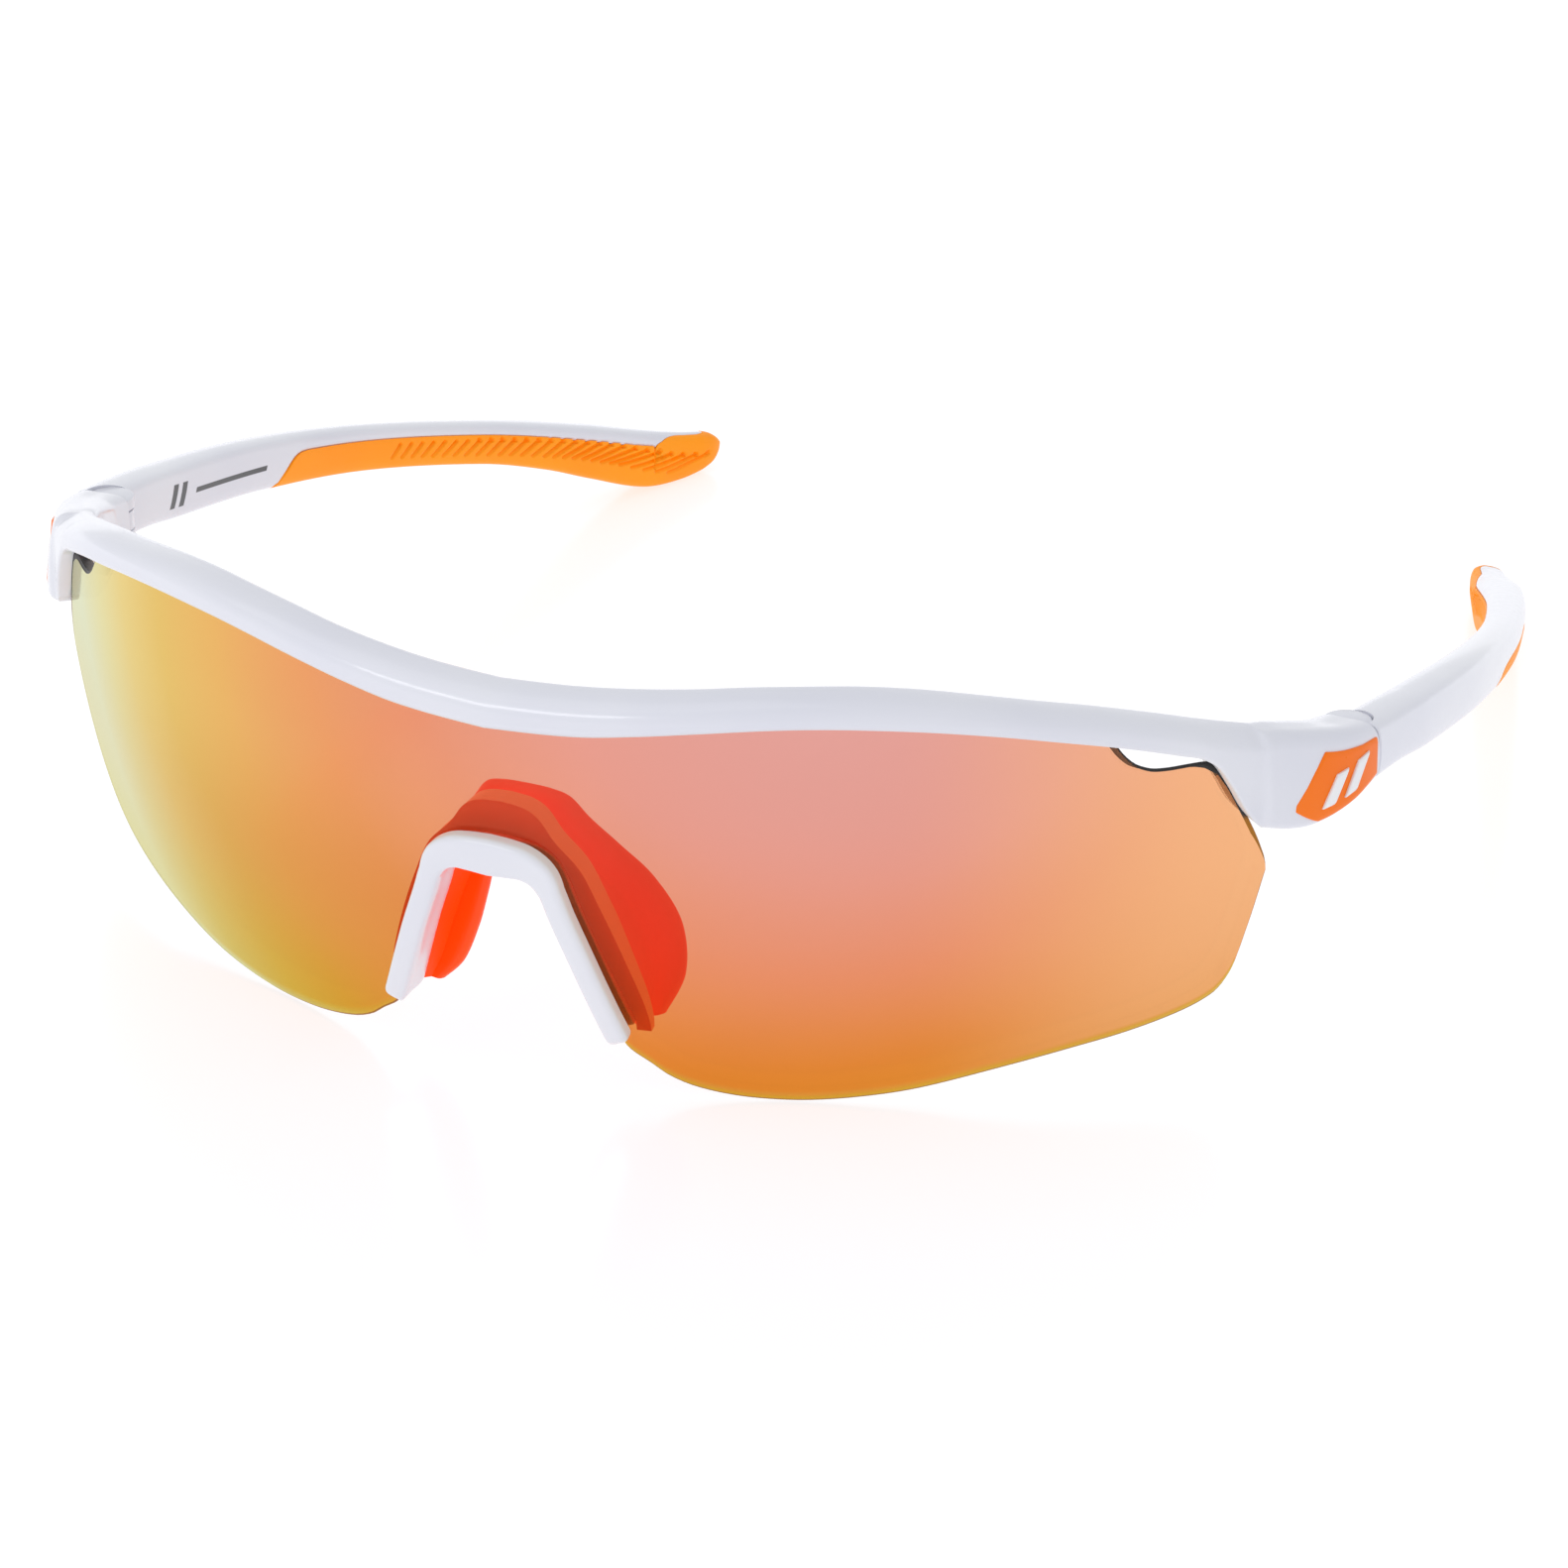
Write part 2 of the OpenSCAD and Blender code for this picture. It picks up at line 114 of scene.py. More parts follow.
def curve(points, t):
    """Smooth curve through a list of equal tuples, t from 0 to len - 1."""
    n = len(points) - 1
    i = int(clamp(math.floor(t), 0, n - 1))
    a, b, c, d = points[max(i - 1, 0)], points[i], points[i + 1], points[min(i + 2, n)]
    u = t - i
    return [
        0.5 * (2 * q + (r - p) * u + (2 * p - 5 * q + 4 * r - s) * u * u + (3 * q - p - 3 * r + s) * u**3)
        for p, q, r, s in zip(a, b, c, d)
    ]


def through(points, per, closed=False):
    """Points of a round curve through a chain of vectors, per steps to a span, with no overshoot."""
    n = len(points)
    spans = n if closed else n - 1
    out = []
    for i in range(spans):
        b, c = points[i], points[(i + 1) % n]
        a = points[(i - 1) % n] if closed or i > 0 else 2 * b - c
        d = points[(i + 2) % n] if closed or i + 2 < n else 2 * c - b
        ta = max((b - a).length, 1e-6) ** 0.5
        tb = max((c - b).length, 1e-6) ** 0.5
        tc = max((d - c).length, 1e-6) ** 0.5
        mb = ((c - b) / tb * ta + (b - a) / ta * tb) / (ta + tb) * tb
        mc = ((d - c) / tc * tb + (c - b) / tb * tc) / (tb + tc) * tb
        for j in range(per):
            t = j / per
            out.append(
                (2 * t**3 - 3 * t**2 + 1) * b
                + (t**3 - 2 * t**2 + t) * mb
                + (3 * t**2 - 2 * t**3) * c
                + (t**3 - t**2) * mc
            )
    if not closed:
        out.append(points[-1])
    return out


def between(rings, per):
    """Rings of a smooth skin through a list of key rings."""
    columns = [through([r[i] for r in rings], per) for i in range(len(rings[0]))]
    return [[c[j] for c in columns] for j in range(len(columns[0]))]


# ---------------------------------------------------------------- meshes
def finish_mesh(bm, name, body, materials, sharp=38.0):
    """Closes a mesh off as a piece: clean normals, sharp edges by angle, body and material slot."""
    bmesh.ops.remove_doubles(bm, verts=bm.verts, dist=1e-7)
    bmesh.ops.recalc_face_normals(bm, faces=bm.faces)
    for f in bm.faces:
        f.smooth = True
    for e in bm.edges:
        e.smooth = len(e.link_faces) == 2 and e.calc_face_angle(0) < math.radians(sharp)
    mesh = bpy.data.meshes.new(name)
    bm.to_mesh(mesh)
    bm.free()
    piece = bpy.data.objects.new(name, mesh)
    bpy.context.scene.collection.objects.link(piece)
    for m in materials:
        mesh.materials.append(m)
    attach(piece, body)
    return piece


def to_frame(p, side=1):
    """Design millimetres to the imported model's frame, mirrored for side -1."""
    return Vector((side * p[0], p[1] - MID_Y, p[2])) * MM


def add_skin(bm, rings, side=1, caps=True, material=0):
    """Adds a skin through equal closed rings of design points, with flat caps at both ends."""
    grid = [[bm.verts.new(to_frame(p, side)) for p in r] for r in rings]
    n = len(rings[0])
    faces = []
    for a, b in zip(grid, grid[1:]):
        for i in range(n):
            j = (i + 1) % n
            faces.append(bm.faces.new((a[i], a[j], b[j], b[i])))
    if caps:
        faces.append(bm.faces.new(grid[0]))
        faces.append(bm.faces.new(grid[-1]))
    for f in faces:
        f.material_index = material
    return grid


def inset_ring(ring, by):
    """The ring pulled towards its middle by a distance."""
    mid = sum(ring, Vector()) / len(ring)
    return [p + (mid - p).normalized() * by for p in ring]


def ear_outline(steps, front=False, inner=False):
    """Points of a unit circle, drawn out straight towards the front or the inner side if asked."""
    out = []
    for i in range(steps):
        a = 2 * math.pi * i / steps
        x, y = math.cos(a), math.sin(a)
        grow = 1.0
        if front and y < 0:
            grow = max(grow, min(1 / max(abs(x), 1e-6), ROOT_REACH / max(-y, 1e-6)))
        if inner and x < 0:
            grow = max(grow, min(1 / max(abs(y), 1e-6), ROOT_REACH / max(-x, 1e-6)))
        out.append((x * grow, y * grow))
    return out


def hinge_tool(r, z0, z1, side, swept=False):
    """A round tool on a hinge axis, or one that clears an ear from the open to the folded arm."""
    outline = [(HINGE_X + r * x, HINGE_Y + r * y) for x, y in ear_outline(64, swept, swept)]
    bm = bmesh.new()
    add_skin(bm, [[Vector((x, y, z)) for x, y in outline] for z in (z0, z1)], side)
    bmesh.ops.recalc_face_normals(bm, faces=bm.faces)
    mesh = bpy.data.meshes.new("cutter")
    bm.to_mesh(mesh)
    bm.free()
    tool = bpy.data.objects.new("cutter", mesh)
    bpy.context.scene.collection.objects.link(tool)
    return tool


def combine(bm, tools, operation):
    """Cuts or joins tool objects with a mesh, and takes the tools away again."""
    bmesh.ops.recalc_face_normals(bm, faces=bm.faces)
    mesh = bpy.data.meshes.new("work")
    bm.to_mesh(mesh)
    bm.free()
    work = bpy.data.objects.new("work", mesh)
    bpy.context.scene.collection.objects.link(work)
    for tool in tools:
        m = work.modifiers.new("b", "BOOLEAN")
        m.operation = operation
        m.solver = "EXACT"
        m.object = tool
    bpy.context.view_layer.update()
    graph = bpy.context.evaluated_depsgraph_get()
    result = bmesh.new()
    result.from_object(work, graph)
    for o in [work, *tools]:
        old = o.data
        bpy.data.objects.remove(o)
        bpy.data.meshes.remove(old)
    return result


# ---------------------------------------------------------------- lens surface
def lens_y(x, z):
    """How far back the front face of the lens lies: bowed across, leaning and slightly bellied."""
    q = (x / 60) ** 2
    h = (z - 20) / 20
    bow = 18.87 * q + 13.31 * q * q - 3.22 * q**3
    lean = -2.4 * h + 3.34 * h * h - 1.64 * q * h
    belly = 1.8 * (1 - h * h) * max(0.0, 1 - q) ** 2
    return bow + lean + belly


def at(x, z, depth):
    """The point at a depth behind the front face of the lens."""
    e = 0.01
    n = Vector(
        (
            (lens_y(x - e, z) - lens_y(x + e, z)) / (2 * e),
            1,
            (lens_y(x, z - e) - lens_y(x, z + e)) / (2 * e),
        )
    ).normalized()
    return Vector((x, lens_y(x, z), z)) + depth * n


# ---------------------------------------------------------------- brow frame
BROW_LOW = [
    (0, 39.6), (9.6, 40.2), (15.5, 41), (21, 41.8), (27, 42.5), (32, 42.75), (37, 42.6), (42, 42.1),
    (47, 41.2), (51.6, 40), (56, 38.6), (60, 36.9), (62.8, 35.2), (64.3, 32), (65.4, 28.8),
    (66.2, 27.3),
]
BROW_TOP = [
    (0, 43.65), (8, 44.05), (14, 44.55), (20, 45.15), (25.4, 45.75), (31, 46.05), (36, 46.05),
    (41, 45.55), (46, 44.55), (51, 43.25), (55, 42.05), (59.5, 40.3), (63.6, 38.4), (66.2, 37.2),
]
# end block: outer x, outer y, inner x, inner y, low z, high z
BLOCK = [
    (67.35, 34.3, 63.5, 37.3, 27.25, 37.1), (68.9, 37.1, 64.6, 39.9, 26.3, 36.5),
    (70.4, 39.9, 65.5, 42.3, 25.7, 35.7), (72, 43.1, 66.2, 44.6, 25.8, 34.9),
    (73.2, 46.5, 66.8, 47, 26.4, 34.1), (73.9, 50.4, 67.2, 50.4, 27.1, 33.3),
]
SWELL = [(0, 0.15), (1, 0.7), (2, 0.6), (3, 0.3), (5, 0)]
SIDE_ROUND = 1.1


def round_section(points):
    """Rounds the outside of a frame section and keeps the lens groove, its last four points, crisp."""
    return through(points[:12], 4) + points[12:]


def brow_ring(x):
    """Section of the brow bar, square to the lens, with the groove that holds the lens."""
    b = smooth(BROW_LOW, abs(x))
    h = smooth(BROW_TOP, abs(x)) - b
    f, r, g = -BROW_FRONT, BROW_BACK, SEAT_GAP
    lip = LENS_GRIP + 0.2
    s = min(h, 4.2) / 4.2
    section = [
        (f + 0.25, 0), (f + 0.02, 0.3), (f, 1.2 * s), (f + 0.2, h - 1.9 * s), (f + 0.8, h - s),
        (f + 1.9, h - 0.35 * s), (f + 3, h - 0.05 * s), (r - 0.9, h), (r - 0.2, h - 0.5 * s),
        (r, h - 1.4 * s), (r, 0.4), (r - 0.25, 0), (LENS_T + g, 0), (LENS_T + g, lip), (-g, lip),
        (-g, 0),
    ]
    return round_section([at(x, b + rise, depth) for depth, rise in section])


def block_ring(t):
    """Section of the end block, upright across it, t counting the rows of its table."""
    ox, oy, ix, iy, lo, hi = curve(BLOCK, t)
    inner = Vector((ix, iy))
    across = Vector((ox, oy)) - inner
    w = across.length
    u = across / w
    b = lookup(SWELL, t)
    c = SIDE_ROUND
    groove = 0.3 * (1 - smoothstep(3.6, 4.4, t)) + 0.01
    section = [
        (w - c + b, lo), (w - 0.3 * c + b, lo + 0.35 * c), (w + b, lo + c), (w, hi - 1.7 * c),
        (w - 0.45 * c, hi - 0.6 * c), (w - 1.2 * c, hi - 0.1 * c), (w * 0.5, hi), (c, hi),
        (0.3 * c, hi - 0.3 * c), (0, hi - c), (0, lo + c), (0.3 * c, lo + 0.3 * c), (w * 0.35, lo),
        (w * 0.35, lo + groove), (w * 0.6, lo + groove), (w * 0.6, lo),
    ]
    ring = []
    for d, z in section:
        q = inner + d * u
        ring.append(Vector((q.x, q.y, z)))
    return round_section(ring)


def ear_slab(bm, side, low, high, seat):
    """One ear of the hinge: a round lug with a straight root, with a seat for the screw head if asked."""
    outline = ear_outline(48, front=True)
    circle = ear_outline(48)

    def level(shape, r, z):
        return [Vector((HINGE_X + r * x, HINGE_Y + r * y, z)) for x, y in shape]

    soft = 0.2
    rings = []
    if seat:
        rings.append(level(circle, SCREW_SEAT_R, low + SCREW_SEAT_DEPTH))
        rings.append(level(circle, SCREW_SEAT_R, low + 0.1))
        rings.append(level(circle, SCREW_SEAT_R + 0.1, low))
    rings += [level(outline, EAR_R - soft, low), level(outline, EAR_R, low + soft)]
    rings.append(level(outline, EAR_R, high - soft))
    rings.append(level(outline, EAR_R - 0.3 * soft, high - 0.3 * soft))
    rings.append(level(outline, EAR_R - soft, high))
    add_skin(bm, rings, side)


def make_front_frame(white):
    """The brow bar and both end blocks as one skin, with the hinge ears."""
    bm = bmesh.new()
    bar = [brow_ring(x * 0.75) for x in range(-79, 80)]
    corner = [brow_ring(x) for x in (59.25, 60.6, 61.9, 63.1, 64.2, 65.3, 66.2)]
    corner += [block_ring(0.417 + 0.3055 * j) for j in range(16)]
    right = between(corner, 6)[1:]
    end = right[-1]
    right[-1] = [p + Vector((0, -0.14, 0)) for p in end]
    right.append(inset_ring(end, 0.14))
    left = [[Vector((-p.x, p.y, p.z)) for p in r] for r in reversed(right)]
    add_skin(bm, left + bar + right)
    low, high = TONGUE_LOW - LAYER_GAP, TONGUE_HIGH + LAYER_GAP
    bm = combine(bm, [hinge_tool(EAR_R, low, high, side) for side in (-1, 1)], "DIFFERENCE")
    for side in (-1, 1):
        ear_slab(bm, side, EAR_LOW, TONGUE_LOW - LAYER_GAP, True)
        ear_slab(bm, side, TONGUE_HIGH + LAYER_GAP, EAR_HIGH, False)
    piece = finish_mesh(bm, "frame_shell", "front", [white])
    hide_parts("front_frame")


# ---------------------------------------------------------------- shield lens
LENS_LOW = [
    (0, 25.4), (2.2, 25.4), (3.8, 25.2), (5.2, 24.4), (6.1, 22.9), (7.1, 20), (8.6, 16), (10, 12),
    (11.4, 8), (12.2, 5.9), (12.9, 4.9), (13.8, 4.2), (14.8, 3.5), (16.4, 2.2), (18.8, 1.1),
    (22.5, 0.3), (26.2, 0), (29.8, 0), (34.3, 0.4), (38.8, 1.1), (45.6, 2.8), (51.4, 4.1),
    (56.4, 5.1), (60.3, 6.3), (62.4, 7.5), (63.3, 8.6), (64, 10), (65.2, 14), (66.1, 17.4),
    (66.7, 20),
]
NOTCH = [
    (55.4, 0), (56.1, -1.0), (56.8, -2.0), (57.6, -2.75), (58.3, -3.0), (59.05, -3.04), (60.5, -2.54),
    (61.9, -1.9), (63, -1.05), (63.4, -0.7),
]
LENS_END = [
    (63.6, 34.6), (64.3, 33), (64.9, 31.2), (65.5, 29.2), (66, 27.4), (66.5, 25.4), (66.9, 23.3),
]
LENS_SIDE = [
    (63.3, 8.6), (64, 10), (64.7, 12.2), (65.3, 14.4), (65.8, 16.3), (66.3, 18.4), (66.8, 20.6),
]
LENS_ROWS = 40
LENS_EDGE = 0.3
# width of the dark line along the upper edge of the lens, painted shade where the brow and the end block
# overhang it, the millimetre in the groove included
DARK_LINE = [
    (0, 1.12), (55.2, 1.12), (56, 0.2), (61.5, 0.2), (62.8, 0.7), (63.4, 1.15), (66, 1.3),
    (67, 0.5),
]
# how far the back face falls short of the front one along the upper edge, which slopes to the rear
BACK_FALL = [(54, 0), (56, 0.7), (60, 0.75), (62, 1.1), (66, 1.1), (67, 0.2)]
# where along the width the notch is, in metres: its edge is painted near black, as painted shade in the
# gap
NOTCH_FROM, NOTCH_TO = 0.054, 0.0634
# half width of the nose cut, in metres, whose wall takes the dark red-brown painted shadow
NOSE_CUT = 0.0122


def lens_columns():
    """Columns of the lens from the middle out, each (low x, high x, low z, high z)."""
    nose = [
        0, 0.8, 1.7, 2.4, 3, 3.4, 3.8, 4.15, 4.5, 4.85, 5.2, 5.65, 6.1, 6.6, 7.1, 7.85, 8.6, 9.3,
        10, 10.7, 11.4,
    ]
    nose += [11.8, 12.2, 12.55, 12.9, 13.35, 13.8, 14.3, 14.8, 15.5]
    cheek = [16.2 + 0.8 * i for i in range(48)]
    temple = [54.6 + 0.35 * i for i in range(25)]
    columns = []
    for x in nose + cheek + temple:
        low = smooth(LENS_LOW, x)
        high = smooth(BROW_LOW, x) + LENS_GRIP + (smooth(NOTCH, x) if x > NOTCH[0][0] else 0)
        columns.append((x, x, low, high))
    keys = [Vector((s[0], e[0], s[1])) for s, e in zip(LENS_SIDE, LENS_END)]
    tops = [Vector((s[0], e[1], 0)) for s, e in zip(LENS_SIDE, LENS_END)]
    for k, t in zip(through(keys, 4), through(tops, 4)):
        columns.append((k.x, k.y, k.z, t.y))
    columns.append((66.95, 66.95, 21.2, 22.6))
    return columns


def lens_ring(c):
    """Closed ring round one column of the lens: front face up, back face down, with softened edges."""
    x0, x1, z0, z1 = c
    tall = max(z1 - z0, 1.2)
    soft = LENS_EDGE / tall
    line = min(lookup(DARK_LINE, x1) / tall, 0.4)
    fall = min(lookup(BACK_FALL, x1), 0.3 * tall)
    middle = [soft + (1 - line - soft) * j / LENS_ROWS for j in range(1, LENS_ROWS + 1)]
    rows = [0, soft] + middle + [1 - soft, 1]
    ring = []
    for face, order in ((0, rows), (1, rows[::-1])):
        for f in order:
            edge = LENS_EDGE * 0.6 if f in (0, 1) else 0
            depth = edge if face == 0 else LENS_T - edge
            top = z1 - face * fall
            ring.append(at(x0 + (x1 - x0) * f, z0 + (top - z0) * f, depth))
    return ring


def lens_material(place, last, n, face):
    """Which of mirror, edge and clear back a face of the lens takes, by its place in the rings."""
    rows = {place[v][1] for v in face.verts}
    out = abs(face.calc_center_median().x)
    top = n // 2 - 1
    if {place[v][0] for v in face.verts} <= {0, last}:
        return 2
    if rows == {0, 1}:
        return 1
    # the upper edge wall in the notch takes the edge material, painted near black there as painted shade
    if rows == {top, top + 1}:
        return 1 if NOTCH_FROM < out < NOTCH_TO else 2
    # a strip of the front face under the upper edge takes the edge material: the dark line of painted
    # shade
    if rows == {top - 1, top} or rows == {top - 2, top - 1}:
        return 1
    # the wall of the nose cut takes the edge material, painted dark red-brown there as painted shadow
    if rows == {0, n - 1}:
        return 1 if out < NOSE_CUT else 2
    return 0 if max(rows) <= top else 2


def make_lens(tinted, rim, back):
    """The shield: front and back faces with a rounded edge between them."""
    bm = bmesh.new()
    right = [lens_ring(c) for c in lens_columns()]
    left = [[Vector((-p.x, p.y, p.z)) for p in r] for r in reversed(right[1:])]
    grid = add_skin(bm, left + right)
    place = {v: (i, j) for i, r in enumerate(grid) for j, v in enumerate(r)}
    for f in bm.faces:
        f.material_index = lens_material(place, len(grid) - 1, len(grid[0]), f)
    piece = finish_mesh(bm, "lens_shield", "front", [tinted, rim, back], sharp=50)
    piece.visible_shadow = False
    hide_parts("shield_lens")


# ---------------------------------------------------------------- nose bridge
ARCH = [
    (0, 25.4), (2.2, 25.4), (3.8, 25.2), (5.2, 24.4), (6.1, 22.9), (7.1, 20), (8.6, 16), (10, 12),
    (11.4, 8), (12.2, 5.9),
]
FULL_ARCH = [(-x, z) for x, z in reversed(ARCH[1:])] + ARCH
ARCH_N = len(ARCH) - 1
# how far the last sections of each leg are drawn in, from the end, so that the leg ends round
BRIDGE_END = (0.75, 0.4, 0.2, 0.08, 0.02)


def bridge_ring(t):
    """Section of the nose bridge, a channel over the edge of the nose cut-out."""
    e = abs(t) / ARCH_N
    m = max(0.0, 1 - e * 2.2) ** 0.7
    a = -0.85 - 0.85 * m
    b = 1.5 + 0.85 * m
    g = SEAT_GAP
    tip = max(0.0, e - 0.93) * 6
    mid = curve(FULL_ARCH, t + ARCH_N)
    before = curve(FULL_ARCH, t + ARCH_N - 0.05)
    after = curve(FULL_ARCH, t + ARCH_N + 0.05)
    along = Vector((after[0] - before[0], after[1] - before[1])).normalized()
    out = (-along.y, along.x)
    face = [
        (-g, LENS_T + g), (0.8, LENS_T + g), (0.8, LENS_T + 0.85), (a + 0.3, LENS_T + 0.85),
        (a, LENS_T + 0.55), (a, 0.6), (a, -1.05), (a + 0.1, -1.35), (a + 0.38, -1.55 + tip),
        ((a + b) / 2, -1.66 + tip), (b - 0.55, -1.62 + tip), (b - 0.22, -1.42 + tip),
        (b - 0.04, -1.1 + tip), (b, -0.6), (b, -g), (-g, -g),
    ]

    def point(w, d):
        return at(mid[0] + w * out[0], mid[1] + w * out[1], d)

    key = [point(w, d) for w, d in face]
    return key[:3] + through(key[3:15], 4) + key[15:]


def make_bridge(white):
    """The rigid bridge, one skin down both legs."""
    bm = bmesh.new()
    steps = 90
    span = ARCH_N - 0.25
    rings = [bridge_ring(j * span / steps) for j in range(-steps, steps + 1)]
    for i, by in enumerate(BRIDGE_END):
        for k in (i, -1 - i):
            rings[k] = rings[k][:3] + inset_ring(rings[k][3:-1], by) + rings[k][-1:]
    add_skin(bm, rings)
    piece = finish_mesh(bm, "bridge_clip", "front", [white])
    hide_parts("nose_bridge")


# ---------------------------------------------------------------- nose pad
FLANGE_OUT = [
    (0, 30.3), (2.5, 30), (4.2, 29), (5.8, 26.8), (8.4, 24), (10.2, 20.2), (12.2, 15.1), (14, 9.6),
    (14.6, 6.4),
]
FLANGE_IN = [
    (0, 26.6), (2.2, 26.5), (4.2, 26.1), (6, 25), (7.2, 22.9), (8.2, 20), (9.8, 15.6), (11.8, 10.3),
    (13.1, 6.7),
]
SADDLE_OUT = [
    (0, 8.3, 29.9), (2.6, 8.3, 29.8), (4.6, 8.6, 29.1), (6.4, 9.4, 26.8), (9, 10.9, 23.7),
    (12, 12.2, 20.3), (14.6, 13, 15.6), (15.2, 12.6, 10.3), (13.8, 11, 6.4),
]
SADDLE_IN = [
    (0, 6.6, 25.6), (1.2, 6.6, 25.2), (2.2, 6.7, 24.1), (3, 7, 22), (3.6, 7.6, 19.6), (4.5, 8.1, 16.5),
    (5.7, 8.6, 12.8), (7.5, 9, 8.7), (9.8, 9.1, 6.2),
]
# height of the flat lower end of each flange
PAD_END = 6.4


def mirrored_curve(points, t):
    """A smooth curve down one half of the face, mirrored for negative t."""
    v = curve(points, min(abs(t), len(points) - 1))
    v[0] = math.copysign(v[0], t)
    return v


def pad_ring(t):
    """Section of the soft pad, from its front face out over the saddle and round its flange."""
    fo = mirrored_curve(FLANGE_OUT, t)
    fi = mirrored_curve(FLANGE_IN, t)
    so = Vector(mirrored_curve(SADDLE_OUT, t))
    si = Vector(mirrored_curve(SADDLE_IN, t))
    front = LENS_T + 0.15
    rear = LENS_T + lookup([(5.5, 2.6), (8, 1.3)], abs(t))
    heel = LENS_T + 0.7
    mf = [0.35 * a + 0.65 * b for a, b in zip(fo, fi)]
    u = (so - si).normalized()
    back = Vector((0, 1.7, 0))
    key = [
        at(fi[0], fi[1], front), at(fo[0], fo[1], front), at(fo[0], fo[1], rear),
        at(mf[0], mf[1], rear + 0.2), 0.62 * so + 0.38 * si - Vector((0, 0.3, 0)), so - 0.5 * u,
        so + 0.5 * back, so - 0.9 * u + back, si + 0.9 * u + back, si + 0.5 * back, si + 0.4 * u,
        0.3 * so + 0.7 * si - Vector((0, 0.4, 0)), at(fi[0], fi[1], heel),
    ]
    crisp = key[:4]
    soft = through(key[3:12], 4)[1:]
    return crisp + soft + [key[12]]


def make_pad(saddle, face, wall):
    """The soft saddle pad behind the lens, its front face a darker copy of the rubber as painted shade and
    its outer wall a paler copy as painted highlight.
    """
    bm = bmesh.new()
    steps = 110
    span = 8
    rings = [pad_ring(j * span / steps) for j in range(-steps, steps + 1)]
    for i in (0, -1):
        rings[i] = [Vector((p.x, p.y, PAD_END)) for p in rings[i]]
    grid = add_skin(bm, rings)
    row = {v: j for r in grid for j, v in enumerate(r)}
    for f in bm.faces:
        rows = {row[v] for v in f.verts}
        # front face: darker rubber as painted shade; outer wall: paler rubber as painted highlight
        f.material_index = 1 if rows == {0, 1} else 2 if rows == {1, 2} else 0
    piece = finish_mesh(bm, "pad_saddle", "front", [saddle, face, wall])
    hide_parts("nose_pad")


# ---------------------------------------------------------------- badge
# lower and upper edge of the inlay: station along the block, height above the block's low edge
BADGE_LOW = [(1.25, 2.2), (2.2, 0.75), (3.8, 0.85), (4.78, 1.25)]
BADGE_HIGH = [(1.25, 2.7), (2.53, 7.7), (4.78, 5.1)]
BADGE_T = 0.24
MARK_T = 0.28


def side_point(t, h, d):
    """Point on the side of the end block at station t, height h above its low edge, distance d outside."""
    ox, oy, ix, iy, lo, hi = curve(BLOCK, t)
    e = curve(BLOCK, min(t + 0.02, 5))
    f = curve(BLOCK, t - 0.02)
    along = Vector((e[0] - f[0], e[1] - f[1])).normalized()
    out = Vector((ox - ix, oy - iy)).normalized()
    c = SIDE_ROUND
    straight = hi - lo - 2.7 * c
    bulge = lookup(SWELL, t) * (1 - clamp((h - c) / straight))
    bulge -= 0.12 * clamp((c - h) / c) ** 2 * 3
    bulge -= 0.22 * max(0.0, h - c - straight) ** 1.5
    q = Vector((ox, oy)) + bulge * out
    return Vector((q.x + d * along.y, q.y - d * along.x, lo + h))


def make_badge(side, name, orange):
    """The coloured inlay that follows the outer side of the end block."""
    bm = bmesh.new()
    stations = [1.25 + 3.53 * i / 60 for i in range(61)]
    rows = 12
    rings = []
    for i, t in enumerate(stations):
        lo, hi = lookup(BADGE_LOW, t), lookup(BADGE_HIGH, t)
        inner = 0 < i < len(stations) - 1
        shoulder = BADGE_T * (0.6 if inner else 0.3)
        soft = min(0.18, (hi - lo) * 0.25)
        ring = [side_point(t, lo, -0.1), side_point(t, lo, shoulder)]
        top = BADGE_T if inner else shoulder
        for j in range(rows + 1):
            ring.append(side_point(t, lo + soft + (hi - lo - 2 * soft) * j / rows, top))
        ring += [side_point(t, hi, shoulder), side_point(t, hi, -0.1)]
        rings.append(ring)
    add_skin(bm, rings, side)
    piece = finish_mesh(bm, "badge_inlay_" + name, "front", [orange])
    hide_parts("badge_plate_" + name)


def make_mark(side, name, white):
    """Two parallel leaning bars, raised on the badge."""
    bm = bmesh.new()
    half = 0.24
    bevel = 0.035
    steps = 16
    for t0, t1 in ((2.55, 3.15), (3.45, 4.05)):
        rings = []
        for i in range(steps + 1):
            f = i / steps
            t = t0 + (t1 - t0) * f
            h = 2 + 2.9 * f
            low = BADGE_T - 0.05
            high = BADGE_T + MARK_T - (0.08 if i in (0, steps) else 0)
            section = [
                (-half, low), (half, low), (half, high - 0.1), (half - bevel, high),
                (bevel - half, high), (-half, high - 0.1),
            ]
            rings.append([side_point(t + w, h, d) for w, d in section])
        add_skin(bm, rings, side)
    piece = finish_mesh(bm, "badge_bars_" + name, "front", [white])
    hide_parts("badge_mark_" + name)


# ---------------------------------------------------------------- arms
ARM_X = [
    (50, 73.9), (57, 74.3), (65, 74.4), (85, 73.3), (105, 70.1), (125, 64.8), (142, 59.4),
    (154, 54.6), (162, 50.6),
]
ARM_TOP = [
    (50, 33.2), (57, 32.1), (65, 30.7), (85, 26.7), (105, 21.8), (125, 16.1), (142, 10.6),
    (154, 6.3), (162, 4.2),
]
ARM_LOW = [
    (50, 27.1), (57, 26.4), (65, 24.8), (85, 20.9), (105, 16.5), (125, 11), (135, 7.3), (142, 4.1),
    (150, 0.7), (155.5, 0), (160, 0.5), (162, 1.3),
]
ARM_W = [
    (50, 4.8), (57, 4.9), (65, 4.8), (85, 4.1), (105, 3.6), (125, 3.8), (142, 4.6), (154, 4.4),
    (162, 3.8),
]
ARM_EXTRA = 0.3
TIP_SHRINK = [(0, 1.25), (0.5, 0.75), (1.2, 0.35), (2, 0.12), (3, 0)]
GRIP_LEN = 71
